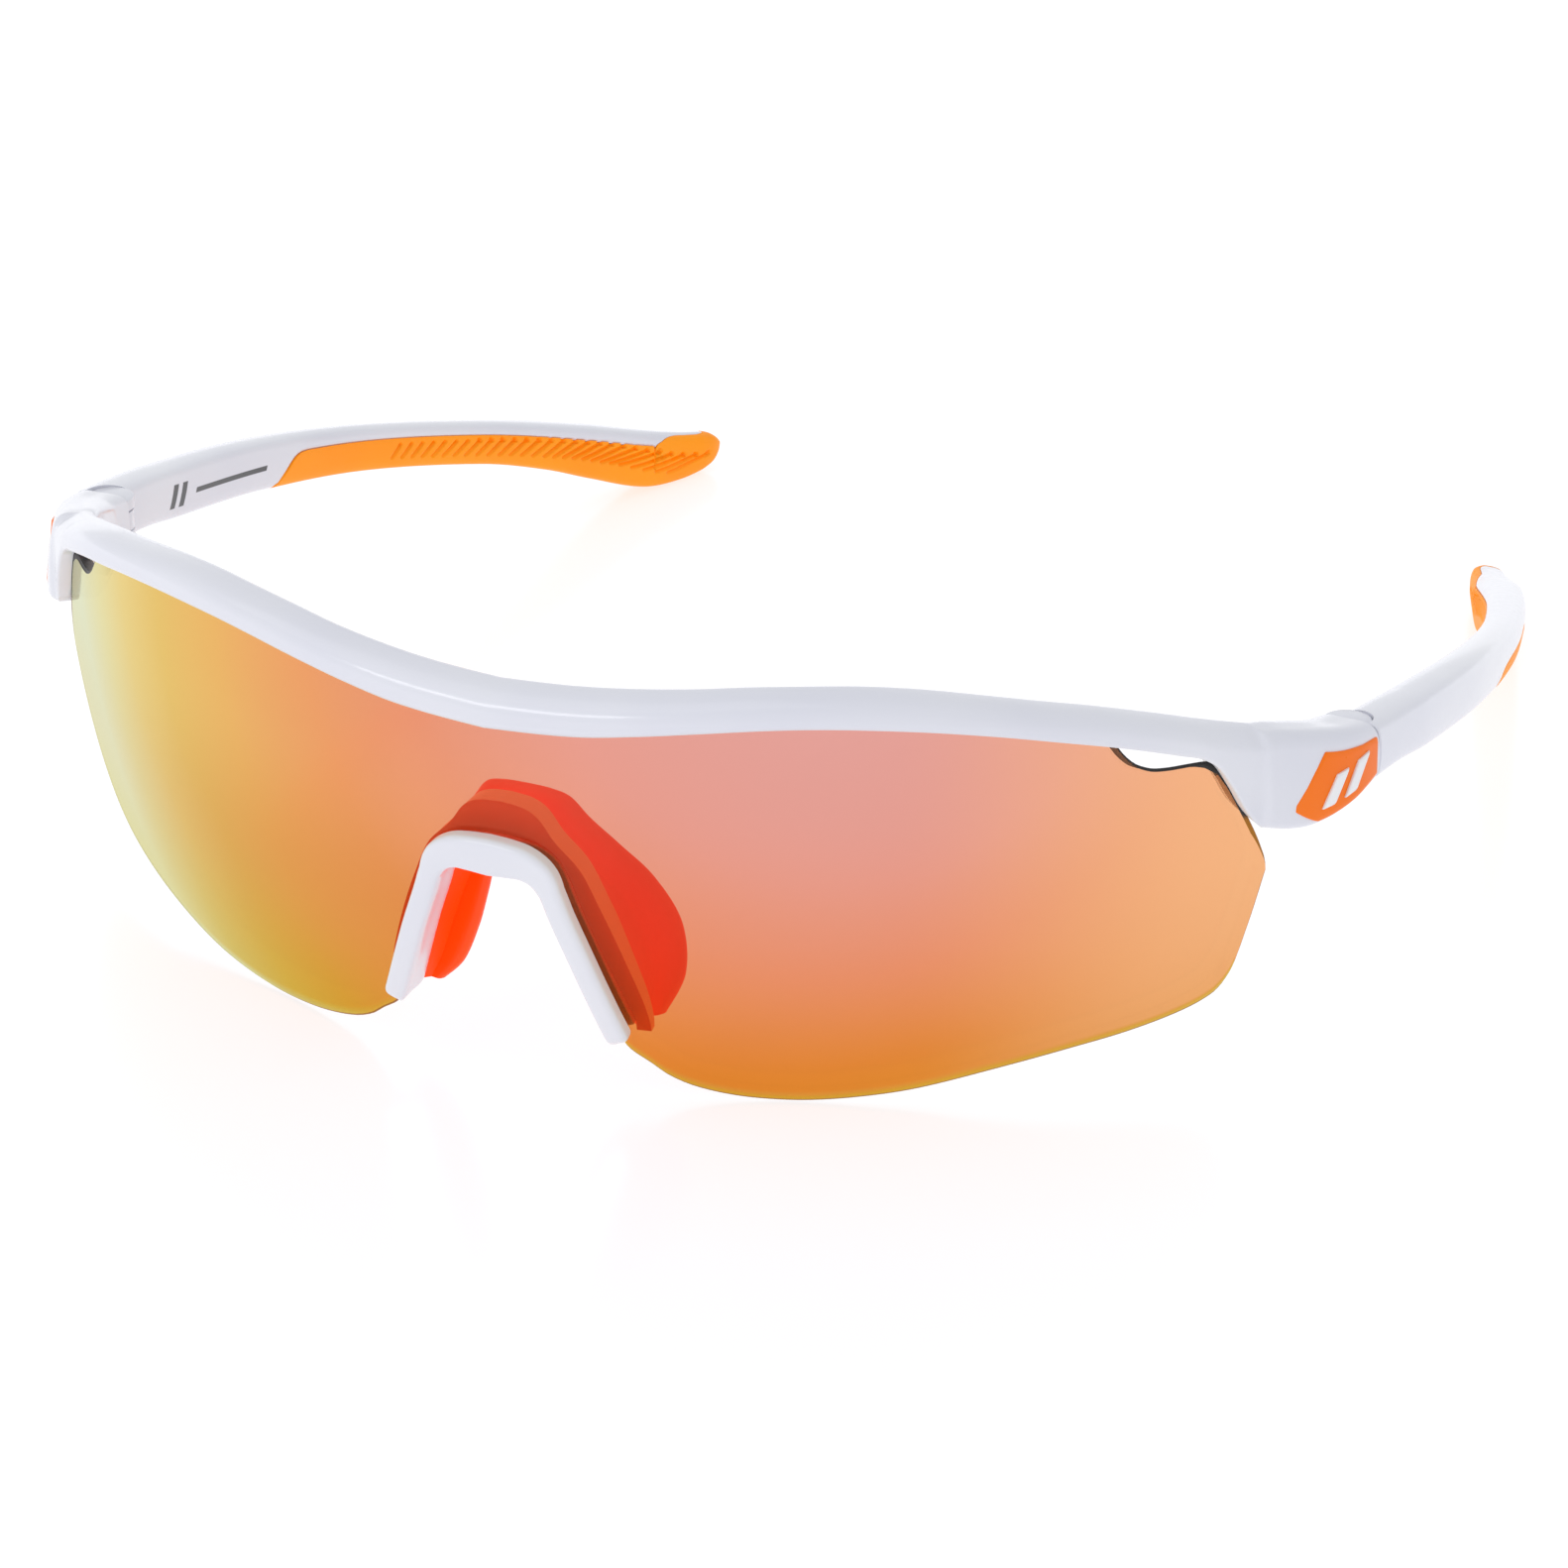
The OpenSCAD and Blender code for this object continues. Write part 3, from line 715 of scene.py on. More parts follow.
# heights of the edge of the grip as parts of the section, against distance from its start
GRIP_IN = [
    (-4, -0.2), (-3, 0.0), (-0.6, 0.34), (1.2, 0.6), (2.8, 0.7), (6, 0.72), (17, 0.74), (30, 0.76),
    (43, 0.77), (61.2, 0.8),
]
GRIP_OUT = [(-4, -0.4), (2, -0.1), (9, 0.34), (30, 0.38), (60, 0.4), (66, 0.42), (72, 0.45)]
GRIP_LEAD = 4
# at the tip the edge crosses the top, as a key point count: 8 is the inner and 6 the outer edge of the top
GRIP_CROSS = [
    (61.2, 9.2), (62.3, 8.7), (63.4, 8.0), (65, 7.5), (67, 7.4), (69.1, 7.2), (69.8, 6.2),
    (70.2, 4.4), (70.5, 3.2),
]
WHITE_END = 70.3
# extra rounding of the outer upper edge towards the tip
TIP_SLOPE = [(132, 0), (150, 0.6), (158, 1.0)]
GRIP_START = TIP_Y - GRIP_LEN - 1
RING_PER = 8


def arm_section(y):
    """Rounded section of an arm at y, from the lower outer side over the top and back along the bottom."""
    dx = smooth(ARM_X, y + 0.5) - smooth(ARM_X, y - 0.5)
    inward = -Vector((1, -dx)).normalized()
    w = smooth(ARM_W, y) + ARM_EXTRA
    e = smooth(TIP_SHRINK, TIP_Y - y) if TIP_Y - y < 3 else 0
    lo = max(0.0, smooth(ARM_LOW, y)) + e
    hi = smooth(ARM_TOP, y) - e
    h = hi - lo
    c = min(1.2, h * 0.28, w * 0.32)
    o = min(c + lookup(TIP_SLOPE, y), h * 0.45)
    crest = min(e + 1.3 * o, w - e - c - 0.3)
    key = [
        (w * 0.5, lo), (e + c, lo), (e + 0.3 * c, lo + 0.3 * c), (e, lo + c), (e, hi - 1.3 * o),
        (e + 0.35 * o, hi - 0.35 * o), (crest, hi), (w - e - c, hi), (w - e - 0.3 * c, hi - 0.3 * c),
        (w - e, hi - c), (w - e, lo + c), (w - e - 0.3 * c, lo + 0.3 * c), (w - e - c, lo),
    ]
    flat = through([Vector((d, z, 0)) for d, z in key], RING_PER, closed=True)
    origin = Vector((smooth(ARM_X, y), y))
    return flat, origin, inward, lo, hi


def section_point(section, s):
    """Point of a section at s, which counts key points from the middle of the bottom round the outside."""
    flat, origin, inward, _, _ = section
    n = len(flat)
    i = int(math.floor(s * RING_PER)) % n
    f = s * RING_PER - math.floor(s * RING_PER)
    p = flat[i] * (1 - f) + flat[(i + 1) % n] * f
    q = origin + inward * p.x
    return Vector((q.x, q.y, p.y))


def side_station(section, z, outer):
    """Where the outer or the inner side of a section is at height z, as a key point count."""
    flat, _, _, lo, hi = section
    count = 13
    z = clamp(z, lo, hi - 0.02)
    if outer:
        span = range(0, 6 * RING_PER)
    else:
        span = range(count * RING_PER, 8 * RING_PER, -1)
    n = len(flat)
    step = 1 if outer else -1
    for i in span:
        a, b = flat[i % n].y, flat[(i + step) % n].y
        if a <= z <= b and b > a:
            return (i + step * (z - a) / (b - a)) / RING_PER
    return 0.0 if outer else float(count)


def grip_edges(y, section):
    """Where the edges of the grip are on a section, as key point counts."""
    q = clamp(y - GRIP_START, -GRIP_LEAD, 72)
    lo, hi = section[3], section[4]
    s_out = side_station(section, lo + (hi - lo) * smooth(GRIP_OUT, q), True)
    if q < GRIP_CROSS[0][0]:
        s_in = side_station(section, lo + (hi - lo) * smooth(GRIP_IN, q), False)
    else:
        s_in = smooth(GRIP_CROSS, min(q, GRIP_CROSS[-1][0]))
    return s_out, max(s_in, s_out + 0.05)


ARM_COUNTS = (14, 24, 14)
GRIP_COUNTS = (90, 34)
EDGE_TUCK = [0.25, 0.07, 0.01]


def tuck(j, last):
    """How far the point j of a chain is pulled in, so that a part ends in a soft edge."""
    k = min(j, last - j)
    return EDGE_TUCK[k] if k < len(EDGE_TUCK) else 0.0


def spread(stops, counts):
    """Evenly spaced values from stop to stop, a count of steps for each stretch."""
    out = [stops[0]]
    for a, b, count in zip(stops, stops[1:], counts):
        out += [a + (b - a) * i / count for i in range(1, count + 1)]
    return out


def arm_span(s_out, s_in):
    """Stations round the white part: those over the top stay put, so the skin runs straight along it."""
    span = s_in - s_out
    return spread([s_out, min(4, s_out + 0.4 * span), min(9, s_in - 0.12 * span), s_in], ARM_COUNTS)


def grip_span(s_in, s_out):
    """Stations round the grip, close together on the inner side where the grooves are."""
    end = s_out + 13
    return spread([s_in, max(10.05, s_in + 0.1 * (end - s_in)), end], GRIP_COUNTS)


def chain(stations, section, proud=0.0, shape=None):
    """Open run of section points at the stations, slightly outside the section by proud."""
    mid = section_point(section, 6.5) * 0.5 + section_point(section, 0) * 0.5
    out = []
    last = len(stations) - 1
    for j, s in enumerate(stations):
        p = section_point(section, s % 13)
        away = (p - mid).normalized()
        cut = shape(s, p) if shape else 0.0
        out.append(p + away * (proud - tuck(j, last) - cut))
    return out


def arm_rings():
    """Rings of the white part of an arm, from the hinge to where it ends in the grip."""
    start = arm_section(SEAM_Y + 0.15)
    whole = arm_span(0, 13)
    rings = [inset_ring([section_point(start, s) for s in whole], 0.14)]
    stations = [SEAM_Y + 0.3 + 0.8 * i for i in range(125)]
    end_y = GRIP_START + WHITE_END
    fine = 30
    stations += [stations[-1] + (end_y - stations[-1]) * i / fine for i in range(1, fine + 1)]
    for y in stations:
        section = arm_section(y)
        s_out, s_in = grip_edges(y, section)
        if s_out <= 0.02 and s_in >= 12.98:
            ring = [section_point(section, s) for s in whole]
            ring[-1] = ring[0] + (ring[-2] - ring[0]) * 0.02
        else:
            ring = chain(arm_span(s_out, s_in), section)
        rings.append(ring)
    return rings


GROOVES = 27
GROOVE_FIRST = 109.5
GROOVE_PITCH = 1.83
GROOVE_DEPTH = 0.42
GROOVE_HALF = 0.22
# run of a groove along the arm, and its upper and lower ends as parts of the section, by its number
GROOVE_RUN = [(0, 1.5), (5, 2.2), (10, 2.4), (14, 2.9), (18, 4.5), (22, 6.2), (26, 6.0)]
GROOVE_UP = [(0, 0.56), (5, 0.57), (10, 0.59), (14, 0.63), (18, 0.66), (22, 0.61), (26, 0.48)]
GROOVE_DOWN = [(0, 0.25), (5, 0.22), (10, 0.21), (14, 0.23), (18, 0.27), (22, 0.27), (26, 0.22)]


def groove_cut(s, p):
    """Depth of the slanted grooves, each with a dot at its upper end, on the inner side of a grip."""
    if not 8.6 < s % 13 < 12.8 or p.y < GROOVE_FIRST - 3:
        return 0.0
    low, high = max(0.0, smooth(ARM_LOW, p.y)), smooth(ARM_TOP, p.y)
    tall = high - low
    rise = (p.z - low) / tall
    deepest = 0.0
    near = int((p.y - GROOVE_FIRST) / GROOVE_PITCH)
    for k in range(max(0, near - 1), min(GROOVES, near + 6)):
        up, down, run = lookup(GROOVE_UP, k), lookup(GROOVE_DOWN, k), lookup(GROOVE_RUN, k)
        top_y = GROOVE_FIRST + GROOVE_PITCH * k
        climb = (up - down) * tall
        lean = math.hypot(run, climb)
        dy, dz = p.y - top_y, (rise - up) * tall
        along = (dy * run + dz * climb) / lean
        across = abs(dz * run - dy * climb) / lean
        beyond = max(0.0, along, -along - lean)
        off = math.hypot(across, beyond)
        depth = 1 - smoothstep(0.3 * GROOVE_HALF, 1.2 * GROOVE_HALF, off)
        if k > 6:
            dot = math.hypot(dy, dz)
            depth = max(depth, 1.25 * (1 - smoothstep(0.2, 0.42, dot)))
        deepest = max(deepest, depth)
    return GROOVE_DEPTH * deepest


def grip_rings():
    """Rings of the grip from its lead-in to the tip, with its slanted grooves."""
    y = GRIP_START - GRIP_LEAD + 0.9
    stations = []
    while y < TIP_Y - 3:
        stations.append(y)
        y += 0.16 if y > GROOVE_FIRST - 2 else 0.4
    stations += [TIP_Y - 3 + 3 * math.sin(math.pi / 2 * i / 14) for i in range(1, 15)]
    rings = []
    for y in stations:
        section = arm_section(y)
        s_out, s_in = grip_edges(y, section)
        rings.append(chain(grip_span(s_in, s_out), section, 0.05, groove_cut))
    return rings


def make_arm(side, name, white):
    """One white arm with its tongue cut to fit between the ears."""
    bm = bmesh.new()
    add_skin(bm, arm_rings(), side)
    cuts = [
        hinge_tool(EAR_R + LAYER_GAP, TOOL_LOW, TONGUE_LOW, side, swept=True),
        hinge_tool(EAR_R + LAYER_GAP, TONGUE_HIGH, TOOL_HIGH, side, swept=True),
    ]
    bm = combine(bm, cuts, "DIFFERENCE")
    bm = combine(bm, [hinge_tool(EAR_R - LAYER_GAP, TONGUE_LOW, TONGUE_HIGH, side)], "UNION")
    bm = combine(bm, [hinge_tool(BORE_R, TOOL_LOW, TOOL_HIGH, side)], "DIFFERENCE")
    piece = finish_mesh(bm, "arm_shell_" + name, "temple_" + name, [white])
    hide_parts("arm_" + name)


def make_grip(side, name, rubber):
    """One soft grip."""
    bm = bmesh.new()
    add_skin(bm, grip_rings(), side)
    piece = finish_mesh(bm, "grip_sleeve_" + name, "temple_" + name, [rubber], sharp=60)
    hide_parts("grip_" + name)


# ---------------------------------------------------------------- materials
def rgb(hexa):
    """Linear colour of a display colour written as rrggbb."""
    channels = [int(hexa[i:i + 2], 16) / 255 for i in (0, 2, 4)]
    return tuple(c / 12.92 if c < 0.04045 else ((c + 0.055) / 1.055) ** 2.4 for c in channels) + (1.0,)


class Nodes:
    """Small helper that builds one node material."""

    def __init__(self, name):
        self.material = bpy.data.materials.new(name)
        self.material.use_nodes = True
        self.tree = self.material.node_tree
        self.tree.nodes.clear()
        self.output = self.add("ShaderNodeOutputMaterial")

    def add(self, kind, inputs=None, **settings):
        node = self.tree.nodes.new(kind)
        for key, value in settings.items():
            setattr(node, key, value)
        for key, value in (inputs or {}).items():
            self.feed(node, key, value)
        return node

    def feed(self, node, key, value):
        if isinstance(value, bpy.types.NodeSocket):
            self.tree.links.new(value, node.inputs[key])
        else:
            node.inputs[key].default_value = value

    def ramp(self, factor, stops):
        node = self.add("ShaderNodeValToRGB", {"Fac": factor})
        elements = node.color_ramp.elements
        elements[0].position, elements[0].color = stops[0]
        elements[1].position, elements[1].color = stops[-1]
        for position, color in stops[1:-1]:
            elements.new(position).color = color
        return node.outputs["Color"]

    def mix(self, factor, a, b):
        node = self.add("ShaderNodeMix", data_type="RGBA")
        self.feed(node, 0, factor)
        self.feed(node, 6, a)
        self.feed(node, 7, b)
        return node.outputs[2]

    def math(self, operation, a, b=0.0, clamp_it=False):
        node = self.add("ShaderNodeMath", operation=operation, use_clamp=clamp_it)
        self.feed(node, 0, a)
        self.feed(node, 1, b)
        return node.outputs[0]

    def smooth_map(self, value, low, high):
        node = self.add("ShaderNodeMapRange", interpolation_type="SMOOTHSTEP")
        self.feed(node, "Value", value)
        self.feed(node, "From Min", low)
        self.feed(node, "From Max", high)
        return node.outputs["Result"]

    def position(self):
        """Position in metres in the object's own frame."""
        return self.add("ShaderNodeTexCoord").outputs["Object"]

    def noise(self, scale, detail=2.0, roughness=0.5):
        node = self.add("ShaderNodeTexNoise", {"Scale": scale, "Detail": detail, "Roughness": roughness})
        self.feed(node, "Vector", self.position())
        return node.outputs["Fac"]

    def bump(self, height, strength, distance):
        node = self.add("ShaderNodeBump", {"Height": height, "Strength": strength, "Distance": distance})
        return node.outputs["Normal"]

    def surface(self, shader):
        self.tree.links.new(shader, self.output.inputs["Surface"])
        return self.material


PRINT_START = 63.5
PRINT_BARS = ((0.0, 1.1, 1.35), (2.0, 3.1, 1.35), (5.4, 21.0, 0.3))
PRINT_LEAN = 0.45
# the middle of the print: its height at the start, and its rise along the arm
PRINT_HEIGHT = 28.0
PRINT_RISE = -0.1975


def print_mask(n):
    """Where the plain print on the inner side of an arm is: two leaning bars and a long thin one."""
    place = n.add("ShaderNodeSeparateXYZ")
    n.feed(place, 0, n.position())
    facing = n.add("ShaderNodeSeparateXYZ")
    n.feed(facing, 0, n.add("ShaderNodeTexCoord").outputs["Normal"])
    side = n.math("SIGN", place.outputs["X"])
    inward = n.smooth_map(n.math("MULTIPLY", side, facing.outputs["X"]), -0.75, -0.85)
    along = n.math("ADD", n.math("DIVIDE", place.outputs["Y"], MM), MID_Y - PRINT_START)
    middle = n.math("ADD", n.math("MULTIPLY", along, PRINT_RISE), PRINT_HEIGHT)
    height = n.math("SUBTRACT", n.math("DIVIDE", place.outputs["Z"], MM), middle)
    leaned = n.math("SUBTRACT", along, n.math("MULTIPLY", height, PRINT_LEAN))
    off = n.math("ABSOLUTE", height)
    mask = 0.0
    for start, end, half in PRINT_BARS:
        after = n.smooth_map(leaned, start - 0.06, start + 0.06)
        before = n.smooth_map(leaned, end + 0.06, end - 0.06)
        level = n.smooth_map(off, half + 0.06, half - 0.06)
        bar = n.math("MULTIPLY", n.math("MULTIPLY", after, before), level)
        mask = n.math("MAXIMUM", bar, mask)
    return n.math("MULTIPLY", mask, inward)


def gloss_plastic(name, shade, light, roughness=0.22, coat=0.35, shine=0.5, printed=False):
    """Moulded glossy plastic: slow tone drift, faint flow marks and a clear skin."""
    n = Nodes(name)
    tone = n.mix(n.smooth_map(n.noise(45.0), 0.3, 0.7), shade, light)
    if printed:
        tone = n.mix(print_mask(n), tone, rgb("2c2b2e"))
    rough = n.smooth_map(n.noise(900.0, 3.0), 0.0, 1.0)
    rough = n.math("MULTIPLY_ADD", rough, 0.08)
    rough.node.inputs[2].default_value = roughness - 0.04
    skin = n.bump(n.noise(260.0, 2.0), 0.03, 0.0002)
    plastic = n.add(
        "ShaderNodeBsdfPrincipled",
        {
            "Base Color": tone, "Roughness": rough, "Normal": skin, "Specular IOR Level": shine,
            "Coat Weight": coat, "Coat Roughness": 0.06,
        },
    )
    return n.surface(plastic.outputs[0])


def soft_rubber(name, shade, light, roughness=0.5, grain=0.25, painted_glow=0.0):
    """Soft-touch rubber: fine grain and slightly uneven tone, with a painted glow: emitted light that
    brightens it beyond its lighting.
    """
    n = Nodes(name)
    tone = n.mix(n.smooth_map(n.noise(60.0), 0.3, 0.7), shade, light)
    grainy = n.bump(n.noise(4200.0, 2.0), grain, 0.00008)
    # the emission is a painted glow that brightens the rubber
    rubber = n.add(
        "ShaderNodeBsdfPrincipled",
        {
            "Base Color": tone, "Roughness": roughness, "Normal": grainy, "Specular IOR Level": 0.25,
            "Emission Color": light, "Emission Strength": painted_glow,
        },
    )
    return n.surface(rubber.outputs[0])


def steel(name):
    """Brushed steel of the hinge screws."""
    n = Nodes(name)
    brushed = n.add("ShaderNodeTexNoise", {"Scale": 3000.0, "Detail": 3.0})
    stretch = n.add("ShaderNodeMapping", {"Scale": (1.0, 0.05, 1.0)})
    n.feed(stretch, "Vector", n.position())
    n.feed(brushed, "Vector", stretch.outputs[0])
    tone = n.mix(brushed.outputs["Fac"], rgb("8e9094"), rgb("c9cbd0"))
    metal = n.add(
        "ShaderNodeBsdfPrincipled",
        {
            "Base Color": tone, "Metallic": 1.0, "Roughness": 0.3,
            "Normal": n.bump(brushed.outputs["Fac"], 0.15, 0.00005),
        },
    )
    return n.surface(metal.outputs[0])


def lens_colour(n):
    """Colour of the mirror coating: it turns with the facing angle, and warms towards the lower edge."""
    facing = n.add("ShaderNodeLayerWeight", {"Blend": 0.5}).outputs["Facing"]
    apart = n.add("ShaderNodeSeparateXYZ")
    n.feed(apart, 0, n.position())
    height = apart.outputs["Z"]
    out = n.math("ABSOLUTE", apart.outputs["X"])
    upper = n.ramp(
        facing,
        [
            (0.04, rgb("dfa097")), (0.13, rgb("e39c8c")), (0.21, rgb("e49674")), (0.29, rgb("e89f68")),
            (0.42, rgb("e6b468")), (0.55, rgb("e2c06f")), (0.66, rgb("e2cb86")), (0.75, rgb("dfd7a3")),
            (0.85, rgb("dcdfc0")),
        ],
    )
    middle = n.ramp(
        facing,
        [
            (0.1, rgb("e69a84")), (0.2, rgb("e6926c")), (0.3, rgb("e0904f")), (0.42, rgb("df9f54")),
            (0.52, rgb("dcac5c")), (0.63, rgb("debc74")), (0.74, rgb("ddcd95")), (0.84, rgb("dedbb6")),
        ],
    )
    lower = n.ramp(
        facing,
        [
            (0.18, rgb("e6883a")), (0.28, rgb("e0862b")), (0.38, rgb("dc9238")), (0.47, rgb("d49f32")),
            (0.57, rgb("d2af44")), (0.68, rgb("d4bf66")), (0.82, rgb("dcd79c")),
        ],
    )
    tone = n.mix(n.smooth_map(height, -0.002, 0.02), lower, middle)
    tone = n.mix(n.smooth_map(height, 0.016, 0.034), tone, upper)
    away = n.smooth_map(out, 0.038, 0.068)
    turned = n.smooth_map(facing, 0.5, 0.28)
    peach = n.math("MULTIPLY", n.math("MULTIPLY", away, turned), 0.8)
    return n.mix(peach, tone, rgb("f4ba88")), facing


def mirror_lens(name):
    """Tinted shield lens with a thin coloured mirror: mostly a clear filter, with a tinted glossy skin."""
    n = Nodes(name)
    tone, facing = lens_colour(n)
    clear = n.add("ShaderNodeBsdfTransparent", {"Color": tone})
    haze = n.bump(n.noise(30.0), 0.004, 0.0005)
    mirror = n.add("ShaderNodeBsdfGlossy", {"Color": tone, "Roughness": 0.07, "Normal": haze})
    strength = n.math("MULTIPLY_ADD", facing, 0.12)
    strength.node.inputs[2].default_value = 0.08
    strength = n.math("MAXIMUM", strength, n.math("MULTIPLY", n.smooth_map(facing, 0.5, 0.74), 0.96))
    both = n.add("ShaderNodeMixShader", {0: strength, 1: clear.outputs[0], 2: mirror.outputs[0]})
    return n.surface(both.outputs[0])


def lens_back(name):
    """Inner face of the lens: clear, with a faint uneven gloss."""
    n = Nodes(name)
    glass = n.mix(n.noise(40.0), rgb("fbf9f6"), rgb("ffffff"))
    clear = n.add("ShaderNodeBsdfTransparent", {"Color": glass})
    gloss = n.add("ShaderNodeBsdfGlossy", {"Color": rgb("fff4e6"), "Roughness": 0.1})
    both = n.add("ShaderNodeMixShader", {0: 0.03, 1: clear.outputs[0], 2: gloss.outputs[0]})
    return n.surface(both.outputs[0])


def lens_rim(name):
    """Ground edge of the lens: a warm tinted wall, with near-black painted shade at the notches and a dark
    red-brown painted shadow in the nose cut.
    """
    n = Nodes(name)
    apart = n.add("ShaderNodeSeparateXYZ")
    n.feed(apart, 0, n.position())
    out = n.math("ABSOLUTE", apart.outputs["X"])
    # near-black painted shade in the gap at the notches, dark red-brown painted shadow in the nose cut
    high = n.smooth_map(apart.outputs["Z"], 0.0275, 0.0285)
    notch = n.math("MULTIPLY", n.smooth_map(out, 0.0535, 0.054), high)
    nose = n.smooth_map(out, 0.0135, 0.0125)
    painted_shade = n.math("MAXIMUM", notch, nose)
    tint = n.mix(n.noise(400.0), rgb("96601a"), rgb("a87026"))
    painted_shade_tone = n.mix(n.noise(600.0), rgb("0c0a0a"), rgb("1c1614"))
    painted_shade_tone = n.mix(nose, painted_shade_tone, rgb("b03a08"))
    grain = n.bump(n.noise(2500.0), 0.1, 0.00005)
    clear = n.add("ShaderNodeBsdfTransparent", {"Color": tint})
    skin = n.add("ShaderNodeBsdfPrincipled", {"Base Color": tint, "Roughness": 0.3, "Normal": grain})
    wall = n.add("ShaderNodeMixShader", {0: 0.3, 1: clear.outputs[0], 2: skin.outputs[0]})
    dark = n.add("ShaderNodeBsdfPrincipled", {"Base Color": painted_shade_tone, "Roughness": 0.4, "Normal": grain})
    both = n.add("ShaderNodeMixShader", {0: painted_shade, 1: wall.outputs[0], 2: dark.outputs[0]})
    return n.surface(both.outputs[0])


def pale_floor(name):
    """A nearly white floor that keeps only soft contact shadows."""
    n = Nodes(name)
    tone = n.mix(n.noise(3.0), rgb("a0a0a2"), rgb("a4a4a5"))
    paper = n.add(
        "ShaderNodeBsdfPrincipled",
        {
            "Base Color": tone, "Roughness": 0.2, "Specular IOR Level": 0.5,
            "Emission Color": rgb("fcfcff"), "Emission Strength": 0.71,
            "Normal": n.bump(n.noise(60.0), 0.01, 0.001),
        },
    )
    return n.surface(paper.outputs[0])


# ---------------------------------------------------------------- stage
def make_floor():
    """A wide floor just below the lowest point."""
    bm = bmesh.new()
    size = 3.0
    drop = 0.0001
    for x, y in ((-size, -size), (size, -size), (size, size), (-size, size)):
        bm.verts.new((x, y, -drop))
    bm.faces.new(bm.verts)
    mesh = bpy.data.meshes.new("floor")
    bm.to_mesh(mesh)
    bm.free()
    mesh.materials.append(pale_floor("floor_paper"))
    floor = bpy.data.objects.new("floor", mesh)
    bpy.context.scene.collection.objects.link(floor)


def add_light(name, place, aim, size, power, color=(1, 1, 1)):
    light = bpy.data.lights.new(name, "AREA")
    light.shape = "RECTANGLE"
    light.size, light.size_y = size
    light.energy = power
    light.color = color
    lamp = bpy.data.objects.new(name, light)
    lamp.location = place
    lamp.rotation_euler = (Vector(aim) - Vector(place)).to_track_quat("-Z", "Y").to_euler()
    bpy.context.scene.collection.objects.link(lamp)


def make_lights():
    world = bpy.data.worlds.new("studio")
    world.use_nodes = True
    tree = world.node_tree
    sky = tree.nodes["Background"]
    sky.inputs["Color"].default_value = (0.975, 0.985, 1.0, 1.0)
    # the sky is as bright as the floor at the horizon, so that the two run together
    way = tree.nodes.new("ShaderNodeTexCoord")
    apart = tree.nodes.new("ShaderNodeSeparateXYZ")
    fade = tree.nodes.new("ShaderNodeMapRange")
    fade.interpolation_type = "SMOOTHSTEP"
    for key, value in (("From Min", 0.02), ("From Max", 0.5), ("To Min", 1.0), ("To Max", 0.78)):
        fade.inputs[key].default_value = value
    tree.links.new(way.outputs["Generated"], apart.inputs[0])
    tree.links.new(apart.outputs["Z"], fade.inputs["Value"])
    tree.links.new(fade.outputs["Result"], sky.inputs["Strength"])
    bpy.context.scene.world = world
    add_light("key", (-0.5, -0.35, 1.2), (0, 0, 0.02), (1.2, 1.2), 1.75)
    add_light("front", (-0.45, -1.0, 0.55), (0, -0.04, 0.03), (0.5, 0.22), 1.4)


CAMERA_PLACE = (0.275481, -0.631580, 0.315474)
CAMERA_AZIMUTH = 23.863
CAMERA_ELEVATION = 24.593
CAMERA_ROLL = 0.368
CAMERA_LENS = 160.42


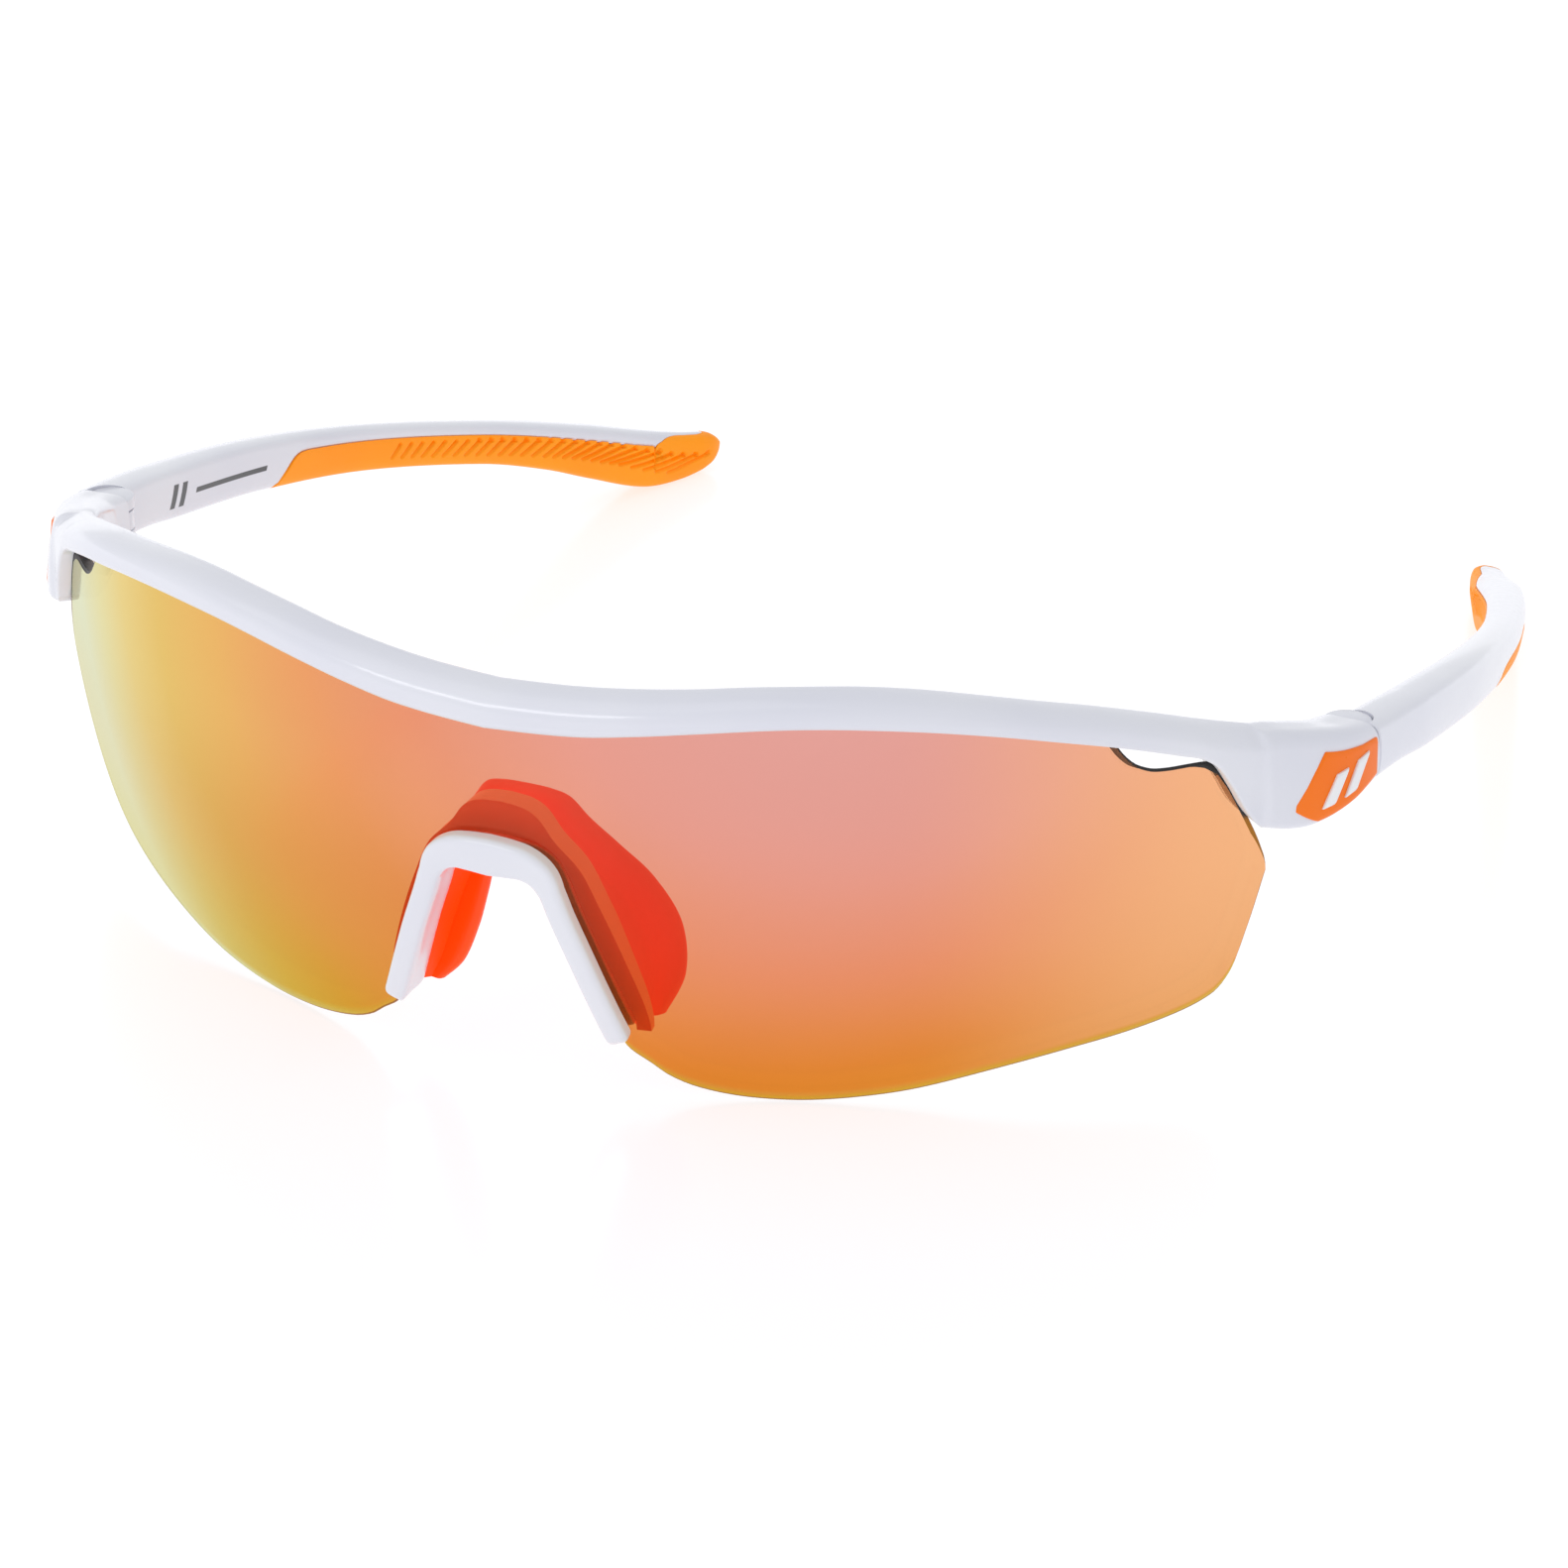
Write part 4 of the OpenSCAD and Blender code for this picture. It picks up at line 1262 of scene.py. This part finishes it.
def make_camera():
    data = bpy.data.cameras.new("camera")
    data.lens = CAMERA_LENS
    data.sensor_width = 36
    data.clip_start = 0.01
    data.clip_end = 50
    camera = bpy.data.objects.new("camera", data)
    a, e, r = (math.radians(v) for v in (CAMERA_AZIMUTH, CAMERA_ELEVATION, CAMERA_ROLL))
    back = Vector((math.sin(a) * math.cos(e), -math.cos(a) * math.cos(e), math.sin(e)))
    right = (-back).cross(Vector((0, 0, 1))).normalized()
    up = back.cross(right)
    right, up = (
        math.cos(r) * right + math.sin(r) * up,
        math.cos(r) * up - math.sin(r) * right,
    )
    turn = camera.matrix_world.to_3x3()
    turn.col[0], turn.col[1], turn.col[2] = right, up, back
    camera.matrix_world = turn.to_4x4()
    camera.location = CAMERA_PLACE
    bpy.context.scene.collection.objects.link(camera)
    bpy.context.scene.camera = camera


# ---------------------------------------------------------------- build
white = gloss_plastic("white_gloss", rgb("dbdce6"), rgb("e2e3ea"))
arm_white = gloss_plastic("arm_white", rgb("dbdce6"), rgb("e2e3ea"), printed=True)
mark_white = gloss_plastic("mark_white", rgb("ebebee"), rgb("f4f4f5"))
badge_orange = gloss_plastic(
    "badge_orange", rgb("fa7400"), rgb("ff7e00"), roughness=0.3, coat=0.0, shine=0.25
)
# the grip and pad rubbers carry a painted glow
grip_rubber = soft_rubber("grip_rubber", rgb("ff9400"), rgb("ff9c00"), painted_glow=0.1)
pad_saddle = soft_rubber("pad_saddle", rgb("f24000"), rgb("fb4800"), roughness=0.4, painted_glow=0.32)
# a darker copy of the pad rubber for its front face, as painted shade, and a paler one for its outer wall,
# as painted highlight
pad_face_painted_shade = soft_rubber("pad_face_painted_shade", rgb("ea5600"), rgb("f06000"), roughness=0.4, painted_glow=0.2)
pad_wall_painted_highlight = soft_rubber("pad_wall_painted_highlight", rgb("ff8c54"), rgb("ff965e"), roughness=0.4, painted_glow=0.2)
screw_steel = steel("screw_steel")

make_front_frame(white)
make_lens(mirror_lens("lens_mirror"), lens_rim("lens_edge"), lens_back("lens_back"))
make_bridge(white)
make_pad(pad_saddle, pad_face_painted_shade, pad_wall_painted_highlight)
for side, name in ((1, "left"), (-1, "right")):
    make_badge(side, name, badge_orange)
    make_mark(side, name, mark_white)
    make_arm(side, name, arm_white)
    make_grip(side, name, grip_rubber)
    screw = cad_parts["hinge_screw_" + name]
    screw.data.materials.clear()
    screw.data.materials.append(screw_steel)

make_floor()
make_lights()
make_camera()
bpy.context.scene.view_settings.view_transform = "Standard"
